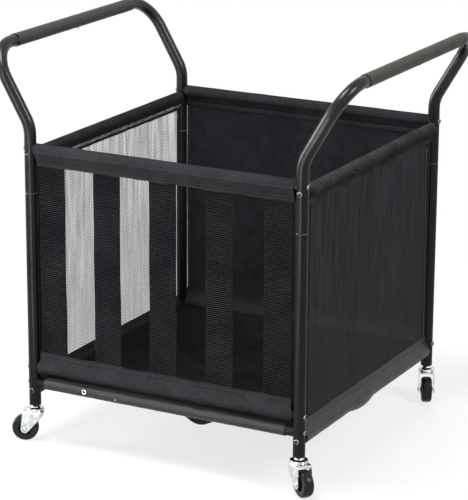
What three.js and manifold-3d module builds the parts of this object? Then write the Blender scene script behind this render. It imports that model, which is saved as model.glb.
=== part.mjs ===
// Rolling ball cart: a steel tube frame on four swivel casters that carries a fabric bag.
// Millimetres, +X to the right along the strap front, +Y to the back, +Z up, floor at z = 0.
import * as THREE from "three";
import { mergeVertices } from "three/addons/utils/BufferGeometryUtils.js";
import Module from "manifold-3d";

const wasm = await Module();
wasm.setup();

// Frame: distances between the post axes, and the tubes
const FRAME_WIDTH = 545;
const FRAME_DEPTH = 555;
const POST_TUBE = 22;
const POST_WALL = 0.8;
const RAIL_TUBE = 19;
const RAIL_WALL = 0.8;
const STRAP_RAIL_TUBE = 16;

// Heights above the lower end of a post
const SIDE_BASE_RAIL_UP = 30;
const CROSS_BASE_RAIL_UP = 44.5;
const STRAP_RAIL_UP = 74;
const POST_SEAM_UP = 406;
const SIDE_TOP_RAIL_UP = 475;
const CROSS_TOP_RAIL_UP = 487;
const HANDLE_BEND_UP = 528;
const HANDLE_BAR_UP = 663;

// Tube joints: a swaged end of one tube sits inside the next
const SPIGOT_LENGTH = 40;
const BAR_SPIGOT_LENGTH = 32;
const SPIGOT_WALL = 0.8;
const SWAGE_LENGTH = 3;
const SWAGE_LEAD = 1.5;

// Handles
const HANDLE_OUT = 79;
const HANDLE_LOWER_BEND = 60;
const HANDLE_UPPER_BEND = 62;
const GRIP_WALL = 1;
const GRIP_LENGTH = 208;
const GRIP_END_ROUND = 0.5;

// Screw holes
const SCREW_HOLE = 5;
const BAR_SCREW_FROM_SEAM = 14;
const SPARE_HOLE = 3.2;
const SPARE_HOLE_ABOVE_RAIL = 17.5;

// Clearances between pieces, and the overrun of cuts
const FIT = 0.3;
const SLIDE_FIT = 0.2;
const CUT_OVERRUN = 5;

// Caster
const WHEEL_DIAMETER = 50;
const WHEEL_WIDTH = 20;
const WHEEL_EDGE = 3;
const TREAD_CROWN = 0.8;
const HUB_RECESS = 25;
const HUB_DIAMETER = 13;
const HUB_WIDTH = 23;
const WEB_THICKNESS = 6;
const AXLE_DIAMETER = 6;
const AXLE_HEAD = 8.6;
const AXLE_HEAD_HEIGHT = 2.2;
const AXLE_HEAD_EDGE = 0.7;
const CASTER_TRAIL = 18.9;
const TREAD_TO_CROWN = 6.9;
const FORK_SHEET = 2.2;
const FORK_SPAN = 30.8;
const FORK_NOSE = 16.4;
const FORK_NOSE_ROUND = 9;
const FORK_TAIL = 23;
const FORK_SKIRT = 6.4;
const FORK_FOOT = 7.8;
const FORK_HEEL = 5.5;
const RACE_DIAMETER = 33;
const RACE_CUP_HEIGHT = 2;
const RACE_CUP_EDGE = 0.8;
const RACE_GAP = 0.4;
const RACE_DISC_HEIGHT = 2.2;
const RACE_DISC_EDGE = 0.8;
const SHOULDER_HEIGHT = 5.5;
const SHOULDER_TOP = 13;
const SHOULDER_FOOT = 18;
const STEM_DIAMETER = 11;
const STEM_LENGTH = 36;
const STEM_CHAMFER = 1.2;
const STEM_GROOVE_DEPTH = 0.9;
const STEM_GROOVE_HEIGHT = 4;
const KINGPIN_DIAMETER = 8;
const KINGPIN_HEAD = 14;
const KINGPIN_HEAD_HEIGHT = 1.8;
const SOCKET_LENGTH = 40;
const SOCKET_FLARE = 0.6;

// Fabric
const CLOTH = 0.9;
const MESH_CLOTH = 0.8;
const BACK_CLOTH = 1;
const STRAP_THICKNESS = 1.6;
const STRAP_WIDTH = 54;
const STRAP_CLEAR_OF_POST = 6.5;
const HEM_CLEAR_OF_POST = 0.6;
const HEM_TAPER = 20;
const CROSS_HEM_DROP = 28.5;
const SIDE_HEM_DROP = 26;
const BASE_HEM_RISE = 32;
const BAND_RISE = 31;
const SEAM_ALLOWANCE = 8;
const PANEL_SIDE_GAP = 4;
const BARE_RAIL_END = 14;
const SLEEVE_FLANGE = 20;
const SLEEVE_TAPER = 14;
const FLOOR_SAG = 44;
const FLOOR_FOLD = 1.6;

// Number of straps, and how finely round shapes are divided
const STRAPS = 5;
const TUBE_SIDES = 12;
const HOLE_SIDES = 6;
const AXLE_SIDES = 10;
const LOWER_BEND_STEPS = 3;
const UPPER_BEND_STEPS = 6;
const ROUND_SIDES = 14;
const WHEEL_SIDES = 20;
const HEM_ARC_STEPS = 10;
const FLOOR_CELLS = 16;

// Where each caster points, in degrees from +X, as it was left standing
const CASTER_YAW = { front_left: 206, front_right: -36, back_right: -63, back_left: 144 };

// Sizes that follow from those above
const postR = POST_TUBE / 2;
const postBore = postR - POST_WALL;
const railR = RAIL_TUBE / 2;
const strapRailR = STRAP_RAIL_TUBE / 2;
const wheelR = WHEEL_DIAMETER / 2;
const crownBottom = WHEEL_DIAMETER + TREAD_TO_CROWN;
const crownTop = crownBottom + FORK_SHEET;
const cupTop = crownTop + RACE_CUP_HEIGHT;
const discBottom = cupTop + RACE_GAP;
const discTop = discBottom + RACE_DISC_HEIGHT;
const shoulderTop = discTop + SHOULDER_HEIGHT;
const postBottom = shoulderTop + FIT;
const halfW = FRAME_WIDTH / 2;
const halfD = FRAME_DEPTH / 2;
const height = {
  sideBase: postBottom + SIDE_BASE_RAIL_UP,
  crossBase: postBottom + CROSS_BASE_RAIL_UP,
  strapRail: postBottom + STRAP_RAIL_UP,
  seam: postBottom + POST_SEAM_UP,
  sideTop: postBottom + SIDE_TOP_RAIL_UP,
  crossTop: postBottom + CROSS_TOP_RAIL_UP,
  bend: postBottom + HANDLE_BEND_UP,
  bar: postBottom + HANDLE_BAR_UP,
};
const corners = [
  { name: "front_left", x: -1, y: -1 },
  { name: "front_right", x: 1, y: -1 },
  { name: "back_right", x: 1, y: 1 },
  { name: "back_left", x: -1, y: 1 },
];

// Materials
const material = (color, roughness, metalness) =>
  new THREE.MeshStandardMaterial({ color, roughness, metalness });
const looks = {
  tube: material(0x17181b, 0.28, 0.1),
  grip: material(0x4a4a47, 0.85, 0),
  plastic: material(0x111112, 0.5, 0),
  zinc: material(0xc9ccd0, 0.25, 1),
  tread: material(0x2a2a2c, 0.5, 0),
  oxford: material(0x333336, 0.9, 0),
  mesh: material(0x1d1d1f, 0.9, 0),
  back: material(0x131416, 0.85, 0),
  elastic: material(0x18181b, 0.9, 0),
};

const cart = new THREE.Group();

// A named piece of the cart; where = [x, y, z] and turn is a rotation about Z in radians.
function piece(name, geometry, look, where = [0, 0, 0], turn = 0, parent = cart) {
  const mesh = new THREE.Mesh(geometry, looks[look]);
  mesh.name = name;
  mesh.position.set(...where);
  mesh.rotation.z = turn;
  parent.add(mesh);
  return mesh;
}

// Joining and cutting: a geometry becomes a solid and comes back
function solid(geometry) {
  const bare = geometry.clone();
  bare.deleteAttribute("normal");
  bare.deleteAttribute("uv");
  const merged = mergeVertices(bare, 1e-4);
  return new wasm.Manifold(
    new wasm.Mesh({
      numProp: 3,
      vertProperties: Float32Array.from(merged.attributes.position.array),
      triVerts: Uint32Array.from(merged.index.array),
    }),
  );
}

function shapeOf(body) {
  const mesh = body.getMesh();
  const geometry = new THREE.BufferGeometry();
  geometry.setAttribute("position", new THREE.BufferAttribute(mesh.vertProperties, mesh.numProp));
  geometry.setIndex(new THREE.BufferAttribute(mesh.triVerts, 1));
  geometry.computeVertexNormals();
  return geometry;
}

function cutAll(body, tools) {
  return tools.reduce((left, tool) => left.subtract(solid(tool)), body);
}

// A solid of revolution about Z from a closed outline of [radius, height] points
function turned(outline, sides = ROUND_SIDES) {
  const profile = [...outline, outline[0]].map(([r, z]) => new THREE.Vector2(r, z));
  return new THREE.LatheGeometry(profile, sides).rotateX(Math.PI / 2);
}

// A plain rod along an axis, used as a tool for holes and copes
function rod(axis, radius, length, centre, sides = TUBE_SIDES) {
  const geometry = new THREE.CylinderGeometry(radius, radius, length, sides);
  if (axis === "x") geometry.rotateZ(Math.PI / 2);
  if (axis === "z") geometry.rotateX(Math.PI / 2);
  return geometry.translate(...centre);
}

// An outline of [across, up] points extruded along X or Y, centred on the origin
function extruded(axis, outline, length) {
  const shape = new THREE.Shape(outline.map(([a, b]) => new THREE.Vector2(a, b)));
  const geometry = new THREE.ExtrudeGeometry(shape, { depth: length, bevelEnabled: false });
  geometry.translate(0, 0, -length / 2);
  if (axis === "x") return geometry.rotateX(Math.PI / 2).rotateZ(Math.PI / 2);
  return geometry.rotateX(Math.PI / 2);
}

// A path that is extruded through exactly the stations it is given
class StationPath extends THREE.Curve {
  constructor(stations) {
    super();
    this.stations = stations;
  }
  getPoint(t) {
    const at = t * (this.stations.length - 1);
    const i = Math.min(Math.floor(at), this.stations.length - 2);
    return this.stations[i].clone().lerp(this.stations[i + 1], at - i);
  }
  getPointAt(u) {
    return this.getPoint(u);
  }
  getTangent(t) {
    const last = this.stations.length - 1;
    const i = Math.round(t * last);
    const into = this.stations[Math.max(i, 1)].clone().sub(this.stations[Math.max(i, 1) - 1]);
    const out = this.stations[Math.min(i, last - 1) + 1].clone();
    out.sub(this.stations[Math.min(i, last - 1)]);
    return into.normalize().add(out.normalize()).normalize();
  }
  getTangentAt(u) {
    return this.getTangent(u);
  }
}

// The stations of an arc that rounds the corner b between a and c
function roundedCorner(a, b, c, radius, steps) {
  const back = a.clone().sub(b).normalize();
  const ahead = c.clone().sub(b).normalize();
  const half = back.angleTo(ahead) / 2;
  const centre = back.clone().add(ahead).normalize().multiplyScalar(radius / Math.sin(half)).add(b);
  const reach = radius / Math.tan(half);
  const from = b.clone().addScaledVector(back, reach).sub(centre);
  const to = b.clone().addScaledVector(ahead, reach).sub(centre);
  const axis = from.clone().cross(to).normalize();
  const sweep = from.angleTo(to);
  return Array.from({ length: steps + 1 }, (_, i) =>
    from.clone().applyAxisAngle(axis, (sweep * i) / steps).add(centre),
  );
}

// A bent hollow tube through stations
function bentTube(stations, outer, bore) {
  const ring = (radius) =>
    Array.from({ length: TUBE_SIDES }, (_, i) => {
      const turn = (2 * Math.PI * i) / TUBE_SIDES;
      return new THREE.Vector2(radius * Math.cos(turn), radius * Math.sin(turn));
    });
  const section = new THREE.Shape(ring(outer));
  section.holes.push(new THREE.Path(ring(bore).reverse()));
  const extrudePath = new StationPath(stations);
  return new THREE.ExtrudeGeometry(section, { steps: stations.length - 1, extrudePath });
}

// Lower posts: open at the foot for the stem socket, swaged at the top into the handle tube
function post({ name, x, y }) {
  const spigotR = postBore - FIT;
  const top = height.seam + SPIGOT_LENGTH;
  const outline = [
    [postBore, postBottom],
    [postR, postBottom],
    [postR, height.seam - SWAGE_LEAD],
    [spigotR, height.seam],
    [spigotR, top],
    [spigotR - SPIGOT_WALL, top],
    [spigotR - SPIGOT_WALL, height.seam - SWAGE_LEAD],
    [postBore, height.seam - SWAGE_LEAD - SWAGE_LENGTH],
  ];
  const heights = y < 0 ? [height.crossBase, height.strapRail] : [height.crossBase];
  const holes = [
    ...heights.map((z) => rod("x", SCREW_HOLE / 2, POST_TUBE + CUT_OVERRUN, [0, 0, z], HOLE_SIDES)),
    rod("y", SCREW_HOLE / 2, POST_TUBE + CUT_OVERRUN, [0, 0, height.sideBase], HOLE_SIDES),
  ];
  const body = cutAll(solid(turned(outline, TUBE_SIDES)), holes);
  piece(`post_${name}`, shapeOf(body), "tube", [x * halfW, y * halfD, 0]);
}

// Handle tubes: straight on the post, flared outwards, then bent into half of the handle bar
function handleStations(x, y, end) {
  const point = (a, b, c) => new THREE.Vector3(a, b, c);
  const foot = point(x * halfW, y * halfD, height.seam + FIT);
  const knee = point(x * halfW, y * halfD, height.bend);
  const shoulder = point(x * (halfW + HANDLE_OUT), y * halfD, height.bar);
  const tip = point(x * (halfW + HANDLE_OUT), end, height.bar);
  return [
    foot,
    ...roundedCorner(foot, knee, shoulder, HANDLE_LOWER_BEND, LOWER_BEND_STEPS),
    ...roundedCorner(knee, shoulder, tip, HANDLE_UPPER_BEND, UPPER_BEND_STEPS),
    tip,
  ];
}

// The reduced end of a front handle tube, which the back one slides over
function barSpigot(x) {
  const spigotR = postBore - FIT;
  const start = -FIT / 2 - SWAGE_LENGTH;
  const outline = [
    [spigotR - SPIGOT_WALL, start],
    [postBore + POST_WALL / 2, start],
    [postBore + POST_WALL / 2, -FIT / 2 - SWAGE_LEAD],
    [spigotR, -FIT / 2],
    [spigotR, BAR_SPIGOT_LENGTH],
    [spigotR - SPIGOT_WALL, BAR_SPIGOT_LENGTH],
  ];
  const along = turned(outline, TUBE_SIDES).rotateX(-Math.PI / 2);
  return along.translate(x * (halfW + HANDLE_OUT), 0, height.bar);
}

function handleTube({ name, x, y }) {
  const at = [x * halfW, y * halfD];
  const tube = bentTube(handleStations(x, y, (y * FIT) / 2), postR, postBore);
  let body = solid(tube);
  if (y < 0) body = body.add(solid(barSpigot(x)));
  const across = POST_TUBE + CUT_OVERRUN;
  const holes = [
    rod("x", SCREW_HOLE / 2, across, [...at, height.crossTop], HOLE_SIDES),
    rod("y", SCREW_HOLE / 2, across, [...at, height.sideTop], HOLE_SIDES),
    rod("z", SCREW_HOLE / 2, across, [x * (halfW + HANDLE_OUT), BAR_SCREW_FROM_SEAM, height.bar], HOLE_SIDES),
  ];
  if (name === "front_right") {
    const z = height.sideTop + SPARE_HOLE_ABOVE_RAIL;
    holes.push(rod("y", SPARE_HOLE / 2, postR, [at[0], at[1] - postR, z], HOLE_SIDES));
  }
  piece(`handle_tube_${name}`, shapeOf(cutAll(body, holes)), "tube");
}

// Foam grips, one on each half of a handle bar, meeting in the middle
function grip({ name, x, y }) {
  const bore = postR + SLIDE_FIT;
  const outer = bore + GRIP_WALL;
  const outline = [
    [bore, FIT / 2],
    [outer - GRIP_END_ROUND, FIT / 2],
    [outer, FIT / 2 + GRIP_END_ROUND],
    [outer, GRIP_LENGTH - GRIP_END_ROUND],
    [outer - GRIP_END_ROUND, GRIP_LENGTH],
    [bore, GRIP_LENGTH],
  ];
  const geometry = turned(outline, TUBE_SIDES).rotateX((-y * Math.PI) / 2);
  let body = solid(geometry);
  if (y > 0) {
    const where = [0, BAR_SCREW_FROM_SEAM, 0];
    body = cutAll(body, [rod("z", SCREW_HOLE / 2, POST_TUBE + CUT_OVERRUN, where, HOLE_SIDES)]);
  }
  piece(`grip_${name}`, shapeOf(body), "grip", [x * (halfW + HANDLE_OUT), 0, height.bar]);
}

// A rail between two posts, with both ends coped to sit round them
function rail(name, axis, radius, where) {
  const span = axis === "x" ? FRAME_WIDTH : FRAME_DEPTH;
  const bore = radius - RAIL_WALL;
  const outline = [
    [bore, -span / 2],
    [radius, -span / 2],
    [radius, span / 2],
    [bore, span / 2],
  ];
  const along = turned(outline, TUBE_SIDES);
  if (axis === "x") along.rotateY(Math.PI / 2);
  else along.rotateX(-Math.PI / 2);
  const copes = [-1, 1].map((side) => {
    const centre = axis === "x" ? [(side * span) / 2, 0, 0] : [0, (side * span) / 2, 0];
    return rod("z", postR + FIT, radius * 2 + CUT_OVERRUN, centre);
  });
  piece(name, shapeOf(cutAll(solid(along), copes)), "tube", where);
}

// Bush in the foot of a post that grips the caster stem
function stemSocket({ name, x, y }) {
  const outer = postBore - SLIDE_FIT;
  const bore = STEM_DIAMETER / 2 + FIT;
  const outline = [
    [bore + SOCKET_FLARE, 0],
    [outer, 0],
    [outer, SOCKET_LENGTH],
    [bore, SOCKET_LENGTH],
    [bore, SOCKET_FLARE],
  ];
  piece(`stem_socket_${name}`, turned(outline, TUBE_SIDES), "plastic", [x * halfW, y * halfD, postBottom]);
}

// Caster stem: grooved stem, shoulder, upper race and the kingpin that carries the fork
function casterStem(name, group) {
  const pinTop = discBottom;
  const headTop = crownBottom - FIT;
  const stemTop = postBottom + STEM_LENGTH;
  const grooveTop = stemTop - STEM_CHAMFER - STEM_GROOVE_HEIGHT / 2;
  const stemR = STEM_DIAMETER / 2;
  const outline = [
    [0, headTop - KINGPIN_HEAD_HEIGHT],
    [KINGPIN_HEAD / 2 - STEM_CHAMFER, headTop - KINGPIN_HEAD_HEIGHT],
    [KINGPIN_HEAD / 2, headTop],
    [KINGPIN_DIAMETER / 2, headTop],
    [KINGPIN_DIAMETER / 2, pinTop],
    [RACE_DIAMETER / 2 - RACE_DISC_EDGE, pinTop],
    [RACE_DIAMETER / 2, pinTop + RACE_DISC_EDGE],
    [RACE_DIAMETER / 2, discTop - RACE_DISC_EDGE],
    [RACE_DIAMETER / 2 - RACE_DISC_EDGE, discTop],
    [SHOULDER_FOOT / 2, discTop],
    [SHOULDER_TOP / 2, shoulderTop],
    [stemR, shoulderTop],
    [stemR, grooveTop - STEM_GROOVE_HEIGHT],
    [stemR - STEM_GROOVE_DEPTH, grooveTop - STEM_GROOVE_HEIGHT],
    [stemR - STEM_GROOVE_DEPTH, grooveTop],
    [stemR, grooveTop],
    [stemR, stemTop - STEM_CHAMFER],
    [stemR - STEM_CHAMFER, stemTop],
    [0, stemTop],
  ];
  piece(`caster_stem_${name}`, turned(outline), "zinc", undefined, 0, group);
}

// Plan outline of the pressed fork: rounded nose under the race, open at the tail
function forkPlan(inset) {
  const half = FORK_SPAN / 2 - inset;
  const nose = FORK_NOSE - inset;
  const round = FORK_NOSE_ROUND - inset;
  const tail = inset ? FORK_TAIL + FORK_SPAN : FORK_TAIL + FORK_HEEL;
  const shape = new THREE.Shape();
  shape.moveTo(tail, -half);
  shape.lineTo(tail, half);
  shape.lineTo(-nose + round, half);
  shape.absarc(-nose + round, half - round, round, Math.PI / 2, Math.PI);
  shape.absarc(-nose + round, -half + round, round, Math.PI, (3 * Math.PI) / 2);
  return shape;
}

// Side outline of the fork: legs that narrow to a round foot at the axle
function forkSide() {
  const shape = new THREE.Shape();
  const heelTurn = Math.atan2(FORK_TAIL - CASTER_TRAIL, crownTop - wheelR) / 2;
  const run = CASTER_TRAIL + FORK_NOSE;
  const rise = crownTop - FORK_SKIRT - wheelR;
  const lean = Math.atan2(rise, -run);
  const tangent = lean + Math.PI / 2 + Math.asin(FORK_FOOT / Math.hypot(run, rise));
  shape.moveTo(-FORK_NOSE, crownTop);
  shape.lineTo(-FORK_NOSE, crownTop - FORK_SKIRT);
  shape.absarc(CASTER_TRAIL, wheelR, FORK_FOOT, tangent, 2 * Math.PI + heelTurn, false);
  shape.lineTo(FORK_TAIL, crownTop);
  return shape;
}

function casterFork(name, group) {
  const plan = (inset, bottom, top) =>
    new THREE.ExtrudeGeometry(forkPlan(inset), { depth: top - bottom, bevelEnabled: false, curveSegments: 3 })
      .translate(0, 0, bottom);
  const side = new THREE.ExtrudeGeometry(forkSide(), {
    depth: FORK_SPAN + CUT_OVERRUN,
    bevelEnabled: false,
    curveSegments: 5,
  });
  side.translate(0, 0, -(FORK_SPAN + CUT_OVERRUN) / 2).rotateX(Math.PI / 2);
  const cup = turned([
    [KINGPIN_DIAMETER / 2, crownBottom + FORK_SHEET / 2],
    [RACE_DIAMETER / 2 - FORK_SHEET, crownBottom + FORK_SHEET / 2],
    [RACE_DIAMETER / 2, crownTop],
    [RACE_DIAMETER / 2, cupTop - RACE_CUP_EDGE],
    [RACE_DIAMETER / 2 - RACE_CUP_EDGE, cupTop],
    [KINGPIN_DIAMETER / 2, cupTop],
  ]);
  const holes = [
    rod("z", KINGPIN_DIAMETER / 2 + FIT, cupTop, [0, 0, crownTop], ROUND_SIDES),
    rod("y", AXLE_DIAMETER / 2 + SLIDE_FIT, FORK_SPAN + CUT_OVERRUN, [CASTER_TRAIL, 0, wheelR], TUBE_SIDES),
  ];
  const shell = solid(plan(0, 0, crownTop)).subtract(solid(plan(FORK_SHEET, -CUT_OVERRUN, crownBottom)));
  const pressed = shell.intersect(solid(side)).add(solid(cup));
  piece(`caster_fork_${name}`, shapeOf(cutAll(pressed, holes)), "zinc", undefined, 0, group);
}

// Axle: a pin with a rounded head outside each leg
function casterAxle(name, group) {
  const legFace = FORK_SPAN / 2 + FIT;
  const end = legFace + AXLE_HEAD_HEIGHT;
  const outline = [
    [0, -end],
    [AXLE_HEAD / 2 - AXLE_HEAD_EDGE, -end],
    [AXLE_HEAD / 2, -end + AXLE_HEAD_EDGE],
    [AXLE_HEAD / 2, -legFace],
    [AXLE_DIAMETER / 2, -legFace],
    [AXLE_DIAMETER / 2, legFace],
    [AXLE_HEAD / 2, legFace],
    [AXLE_HEAD / 2, end - AXLE_HEAD_EDGE],
    [AXLE_HEAD / 2 - AXLE_HEAD_EDGE, end],
    [0, end],
  ];
  const geometry = turned(outline, AXLE_SIDES).rotateX(Math.PI / 2);
  piece(`caster_axle_${name}`, geometry, "zinc", [CASTER_TRAIL, 0, wheelR], 0, group);
}

// Wheel: crowned tread, recessed sides and a hub that is wider than the tread
function casterWheel(name, group) {
  const half = WHEEL_WIDTH / 2;
  const bore = AXLE_DIAMETER / 2 + SLIDE_FIT;
  const edge = wheelR - TREAD_CROWN;
  const right = [
    [bore, HUB_WIDTH / 2],
    [HUB_DIAMETER / 2, HUB_WIDTH / 2],
    [HUB_DIAMETER / 2, WEB_THICKNESS / 2],
    [HUB_RECESS / 2, WEB_THICKNESS / 2],
    [HUB_RECESS / 2, half],
    [edge - WHEEL_EDGE, half],
    [edge, half - WHEEL_EDGE],
    [wheelR, 0],
  ];
  const left = right.slice(0, -1).reverse().map(([r, y]) => [r, -y]);
  const geometry = turned([...right, ...left].reverse(), WHEEL_SIDES).rotateX(Math.PI / 2);
  piece(`caster_wheel_${name}`, geometry, "tread", [CASTER_TRAIL, 0, wheelR], 0, group);
}

function caster({ name, x, y }) {
  const group = new THREE.Group();
  group.position.set(x * halfW, y * halfD, 0);
  group.rotation.z = THREE.MathUtils.degToRad(CASTER_YAW[name]);
  casterStem(name, group);
  casterFork(name, group);
  casterAxle(name, group);
  casterWheel(name, group);
  cart.add(group);
}

// How far below the rail's middle a hem's straight side leaves the round part, as an angle:
// the side is tangent to the circle and runs to the slot's edge at [half, taper]
function sideDip(radius, half, taper) {
  return Math.atan2(taper, half) - Math.acos(radius / Math.hypot(half, taper));
}

// Half the width of a hem at a height between its round part and the end of its taper
function hemHalfWidth(radius, half, taper, at) {
  const dip = sideDip(radius, half, taper);
  const [x, z] = [radius * Math.cos(dip), radius * Math.sin(dip)];
  return x + ((half - x) * (at - z)) / (taper - z);
}

// Section of a hem: a cloth sleeve round a rail that closes into a flange with a slot.
// up = 1 for a flange above the rail and -1 for one below it.
function hemSection(radius, slot, taper, reach, up) {
  const inner = radius + FIT;
  const side = (r, half) => {
    const dip = sideDip(r, half, taper);
    const arc = Array.from({ length: HEM_ARC_STEPS + 1 }, (_, i) => {
      const turn = ((Math.PI + 2 * dip) * i) / HEM_ARC_STEPS - dip;
      return [r * Math.cos(turn), -up * r * Math.sin(turn)];
    });
    return [[half, up * reach], [half, up * taper], ...arc, [-half, up * taper], [-half, up * reach]];
  };
  const outline = [...side(inner + CLOTH, slot + CLOTH), ...side(inner, slot).reverse()];
  return up > 0 ? outline : outline.reverse();
}

const crossHemLength = FRAME_WIDTH - 2 * (postR + HEM_CLEAR_OF_POST);
const sideHemLength = FRAME_DEPTH - 2 * (postR + HEM_CLEAR_OF_POST);
const slotFor = (thickness) => thickness / 2 + SLIDE_FIT;
const strapSpread = FRAME_WIDTH - POST_TUBE - 2 * STRAP_CLEAR_OF_POST - STRAP_WIDTH;
const strapPitch = strapSpread / (STRAPS - 1);

function hems() {
  const hem = (name, axis, radius, thickness, reach, up, where, length) => {
    const section = hemSection(radius, slotFor(thickness), HEM_TAPER, reach, up);
    piece(name, extruded(axis, section, length), "oxford", where);
  };
  const { crossTop, sideTop, sideBase, crossBase, strapRail } = height;
  const x = crossHemLength;
  const y = sideHemLength;
  hem("hem_top_front", "x", railR, STRAP_THICKNESS, CROSS_HEM_DROP, -1, [0, -halfD, crossTop], x);
  hem("hem_top_back", "x", railR, BACK_CLOTH, CROSS_HEM_DROP, -1, [0, halfD, crossTop], x);
  hem("hem_top_left", "y", railR, MESH_CLOTH, SIDE_HEM_DROP, -1, [-halfW, 0, sideTop], y);
  hem("hem_top_right", "y", railR, MESH_CLOTH, SIDE_HEM_DROP, -1, [halfW, 0, sideTop], y);
  hem("hem_base_left", "y", railR, MESH_CLOTH, BASE_HEM_RISE, 1, [-halfW, 0, sideBase], y);
  hem("hem_base_right", "y", railR, MESH_CLOTH, BASE_HEM_RISE, 1, [halfW, 0, sideBase], y);
  hem("hem_base_back", "x", railR, BACK_CLOTH, BASE_HEM_RISE, 1, [0, halfD, crossBase], x);
  hem("strap_band", "x", strapRailR, STRAP_THICKNESS, BAND_RISE, 1, [0, -halfD, strapRail], x);
}

// Side and back panels: flat cloth sewn into the hems above and below
function sheet(name, axis, thickness, length, bottom, top, where, look) {
  const box = axis === "x" ? [length, thickness, top - bottom] : [thickness, length, top - bottom];
  const geometry = new THREE.BoxGeometry(...box).translate(0, 0, (top + bottom) / 2);
  piece(name, geometry, look, [...where, 0]);
}

function panels() {
  const sideBottom = height.sideBase + BASE_HEM_RISE - SEAM_ALLOWANCE;
  const sideTop = height.sideTop - SIDE_HEM_DROP + SEAM_ALLOWANCE;
  const backBottom = height.crossBase + BASE_HEM_RISE - SEAM_ALLOWANCE;
  const crossTop = height.crossTop - CROSS_HEM_DROP + SEAM_ALLOWANCE;
  const bandTop = height.strapRail + BAND_RISE - SEAM_ALLOWANCE;
  const sideLength = sideHemLength - 2 * PANEL_SIDE_GAP;
  const crossLength = crossHemLength - 2 * PANEL_SIDE_GAP;
  sheet("mesh_panel_left", "y", MESH_CLOTH, sideLength, sideBottom, sideTop, [-halfW, 0], "mesh");
  sheet("mesh_panel_right", "y", MESH_CLOTH, sideLength, sideBottom, sideTop, [halfW, 0], "mesh");
  sheet("back_panel", "x", BACK_CLOTH, crossLength, backBottom, crossTop, [0, halfD], "back");
  for (let i = 0; i < STRAPS; i += 1) {
    const x = (i - (STRAPS - 1) / 2) * strapPitch;
    const name = `strap_${i + 1}`;
    sheet(name, "x", STRAP_THICKNESS, STRAP_WIDTH, bandTop, crossTop, [x, -halfD], "elastic");
  }
}

// Sleeve of the floor round the front base rail, with its flange turned inwards
function floorSleeve() {
  const section = hemSection(railR, slotFor(MESH_CLOTH), SLEEVE_TAPER, SLEEVE_FLANGE, 1);
  const length = FRAME_WIDTH - 2 * (postR + BARE_RAIL_END);
  const geometry = extruded("x", section, length).rotateX(-Math.PI / 2);
  piece("floor_sleeve", geometry, "oxford", [0, -halfD, height.crossBase]);
}

// Floor of the bag: a mesh sheet with a flat sewn border that sags between the base hems
function floorDrop(across, along) {
  const fall = (1 - across ** 4) * (1 - along ** 4);
  const fold = Math.cos(5 * Math.PI * across) * Math.cos(4 * Math.PI * along) * fall * (1 - fall);
  return FLOOR_SAG * fall + 4 * FLOOR_FOLD * fold;
}

// Moves a grid line of an even sheet so that its outermost cell is the sewn border
function borderedLine(at, half, border) {
  if (Math.abs(at) > half - half / FLOOR_CELLS) return { place: at, share: Math.sign(at) };
  const share = at / (half - (2 * half) / FLOOR_CELLS);
  return { place: share * (half - border), share };
}

// Splits the lower side's cells along the same diagonals as the upper side's, so that the two
// faces of a thin sheet stay apart where it bends
function matchDiagonals(box) {
  const { start, count } = box.groups[5];
  for (let i = start; i < start + count; i += 6) {
    const [a, b, d, , c] = Array.from({ length: 5 }, (_, k) => box.index.getX(i + k));
    [a, b, c, a, c, d].forEach((vertex, k) => box.index.setX(i + k, vertex));
  }
}

function floor() {
  const level = height.crossBase;
  const sleeveR = railR + FIT + CLOTH;
  const hemHalf = hemHalfWidth(sleeveR, slotFor(MESH_CLOTH) + CLOTH, HEM_TAPER, level - height.sideBase);
  const halfAcross = halfW - hemHalf - FIT;
  const back = halfD - sleeveR - FIT;
  const front = -halfD + SLEEVE_FLANGE - SEAM_ALLOWANCE;
  const halfAlong = (back - front) / 2;
  const geometry = new THREE.BoxGeometry(
    2 * halfAcross, 2 * halfAlong, MESH_CLOTH, FLOOR_CELLS, FLOOR_CELLS, 1,
  );
  matchDiagonals(geometry);
  const points = geometry.attributes.position;
  for (let i = 0; i < points.count; i += 1) {
    const across = borderedLine(points.getX(i), halfAcross, SEAM_ALLOWANCE + FIT);
    const along = borderedLine(points.getY(i), halfAlong, SEAM_ALLOWANCE + FIT);
    points.setXYZ(i, across.place, along.place, points.getZ(i) - floorDrop(across.share, along.share));
  }
  piece("floor_mesh", geometry, "mesh", [0, (back + front) / 2, level]);
}

corners.forEach((corner) => {
  post(corner);
  handleTube(corner);
  grip(corner);
  stemSocket(corner);
  caster(corner);
});
rail("rail_top_front", "x", railR, [0, -halfD, height.crossTop]);
rail("rail_top_back", "x", railR, [0, halfD, height.crossTop]);
rail("rail_top_left", "y", railR, [-halfW, 0, height.sideTop]);
rail("rail_top_right", "y", railR, [halfW, 0, height.sideTop]);
rail("rail_strap", "x", strapRailR, [0, -halfD, height.strapRail]);
rail("rail_base_front", "x", railR, [0, -halfD, height.crossBase]);
rail("rail_base_back", "x", railR, [0, halfD, height.crossBase]);
rail("rail_base_left", "y", railR, [-halfW, 0, height.sideBase]);
rail("rail_base_right", "y", railR, [halfW, 0, height.sideBase]);
hems();
panels();
floorSleeve();
floor();

export default cart;
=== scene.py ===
"""Rolling ball cart: a powder-coated tube frame on swivel casters, with foam grips and a cloth and net bag.

Shapes are worked out in millimetres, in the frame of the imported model, and become metres in Form.mesh().
"""
import math
from random import Random

import bpy
import bmesh
from mathutils import Matrix, Vector, noise


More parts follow.
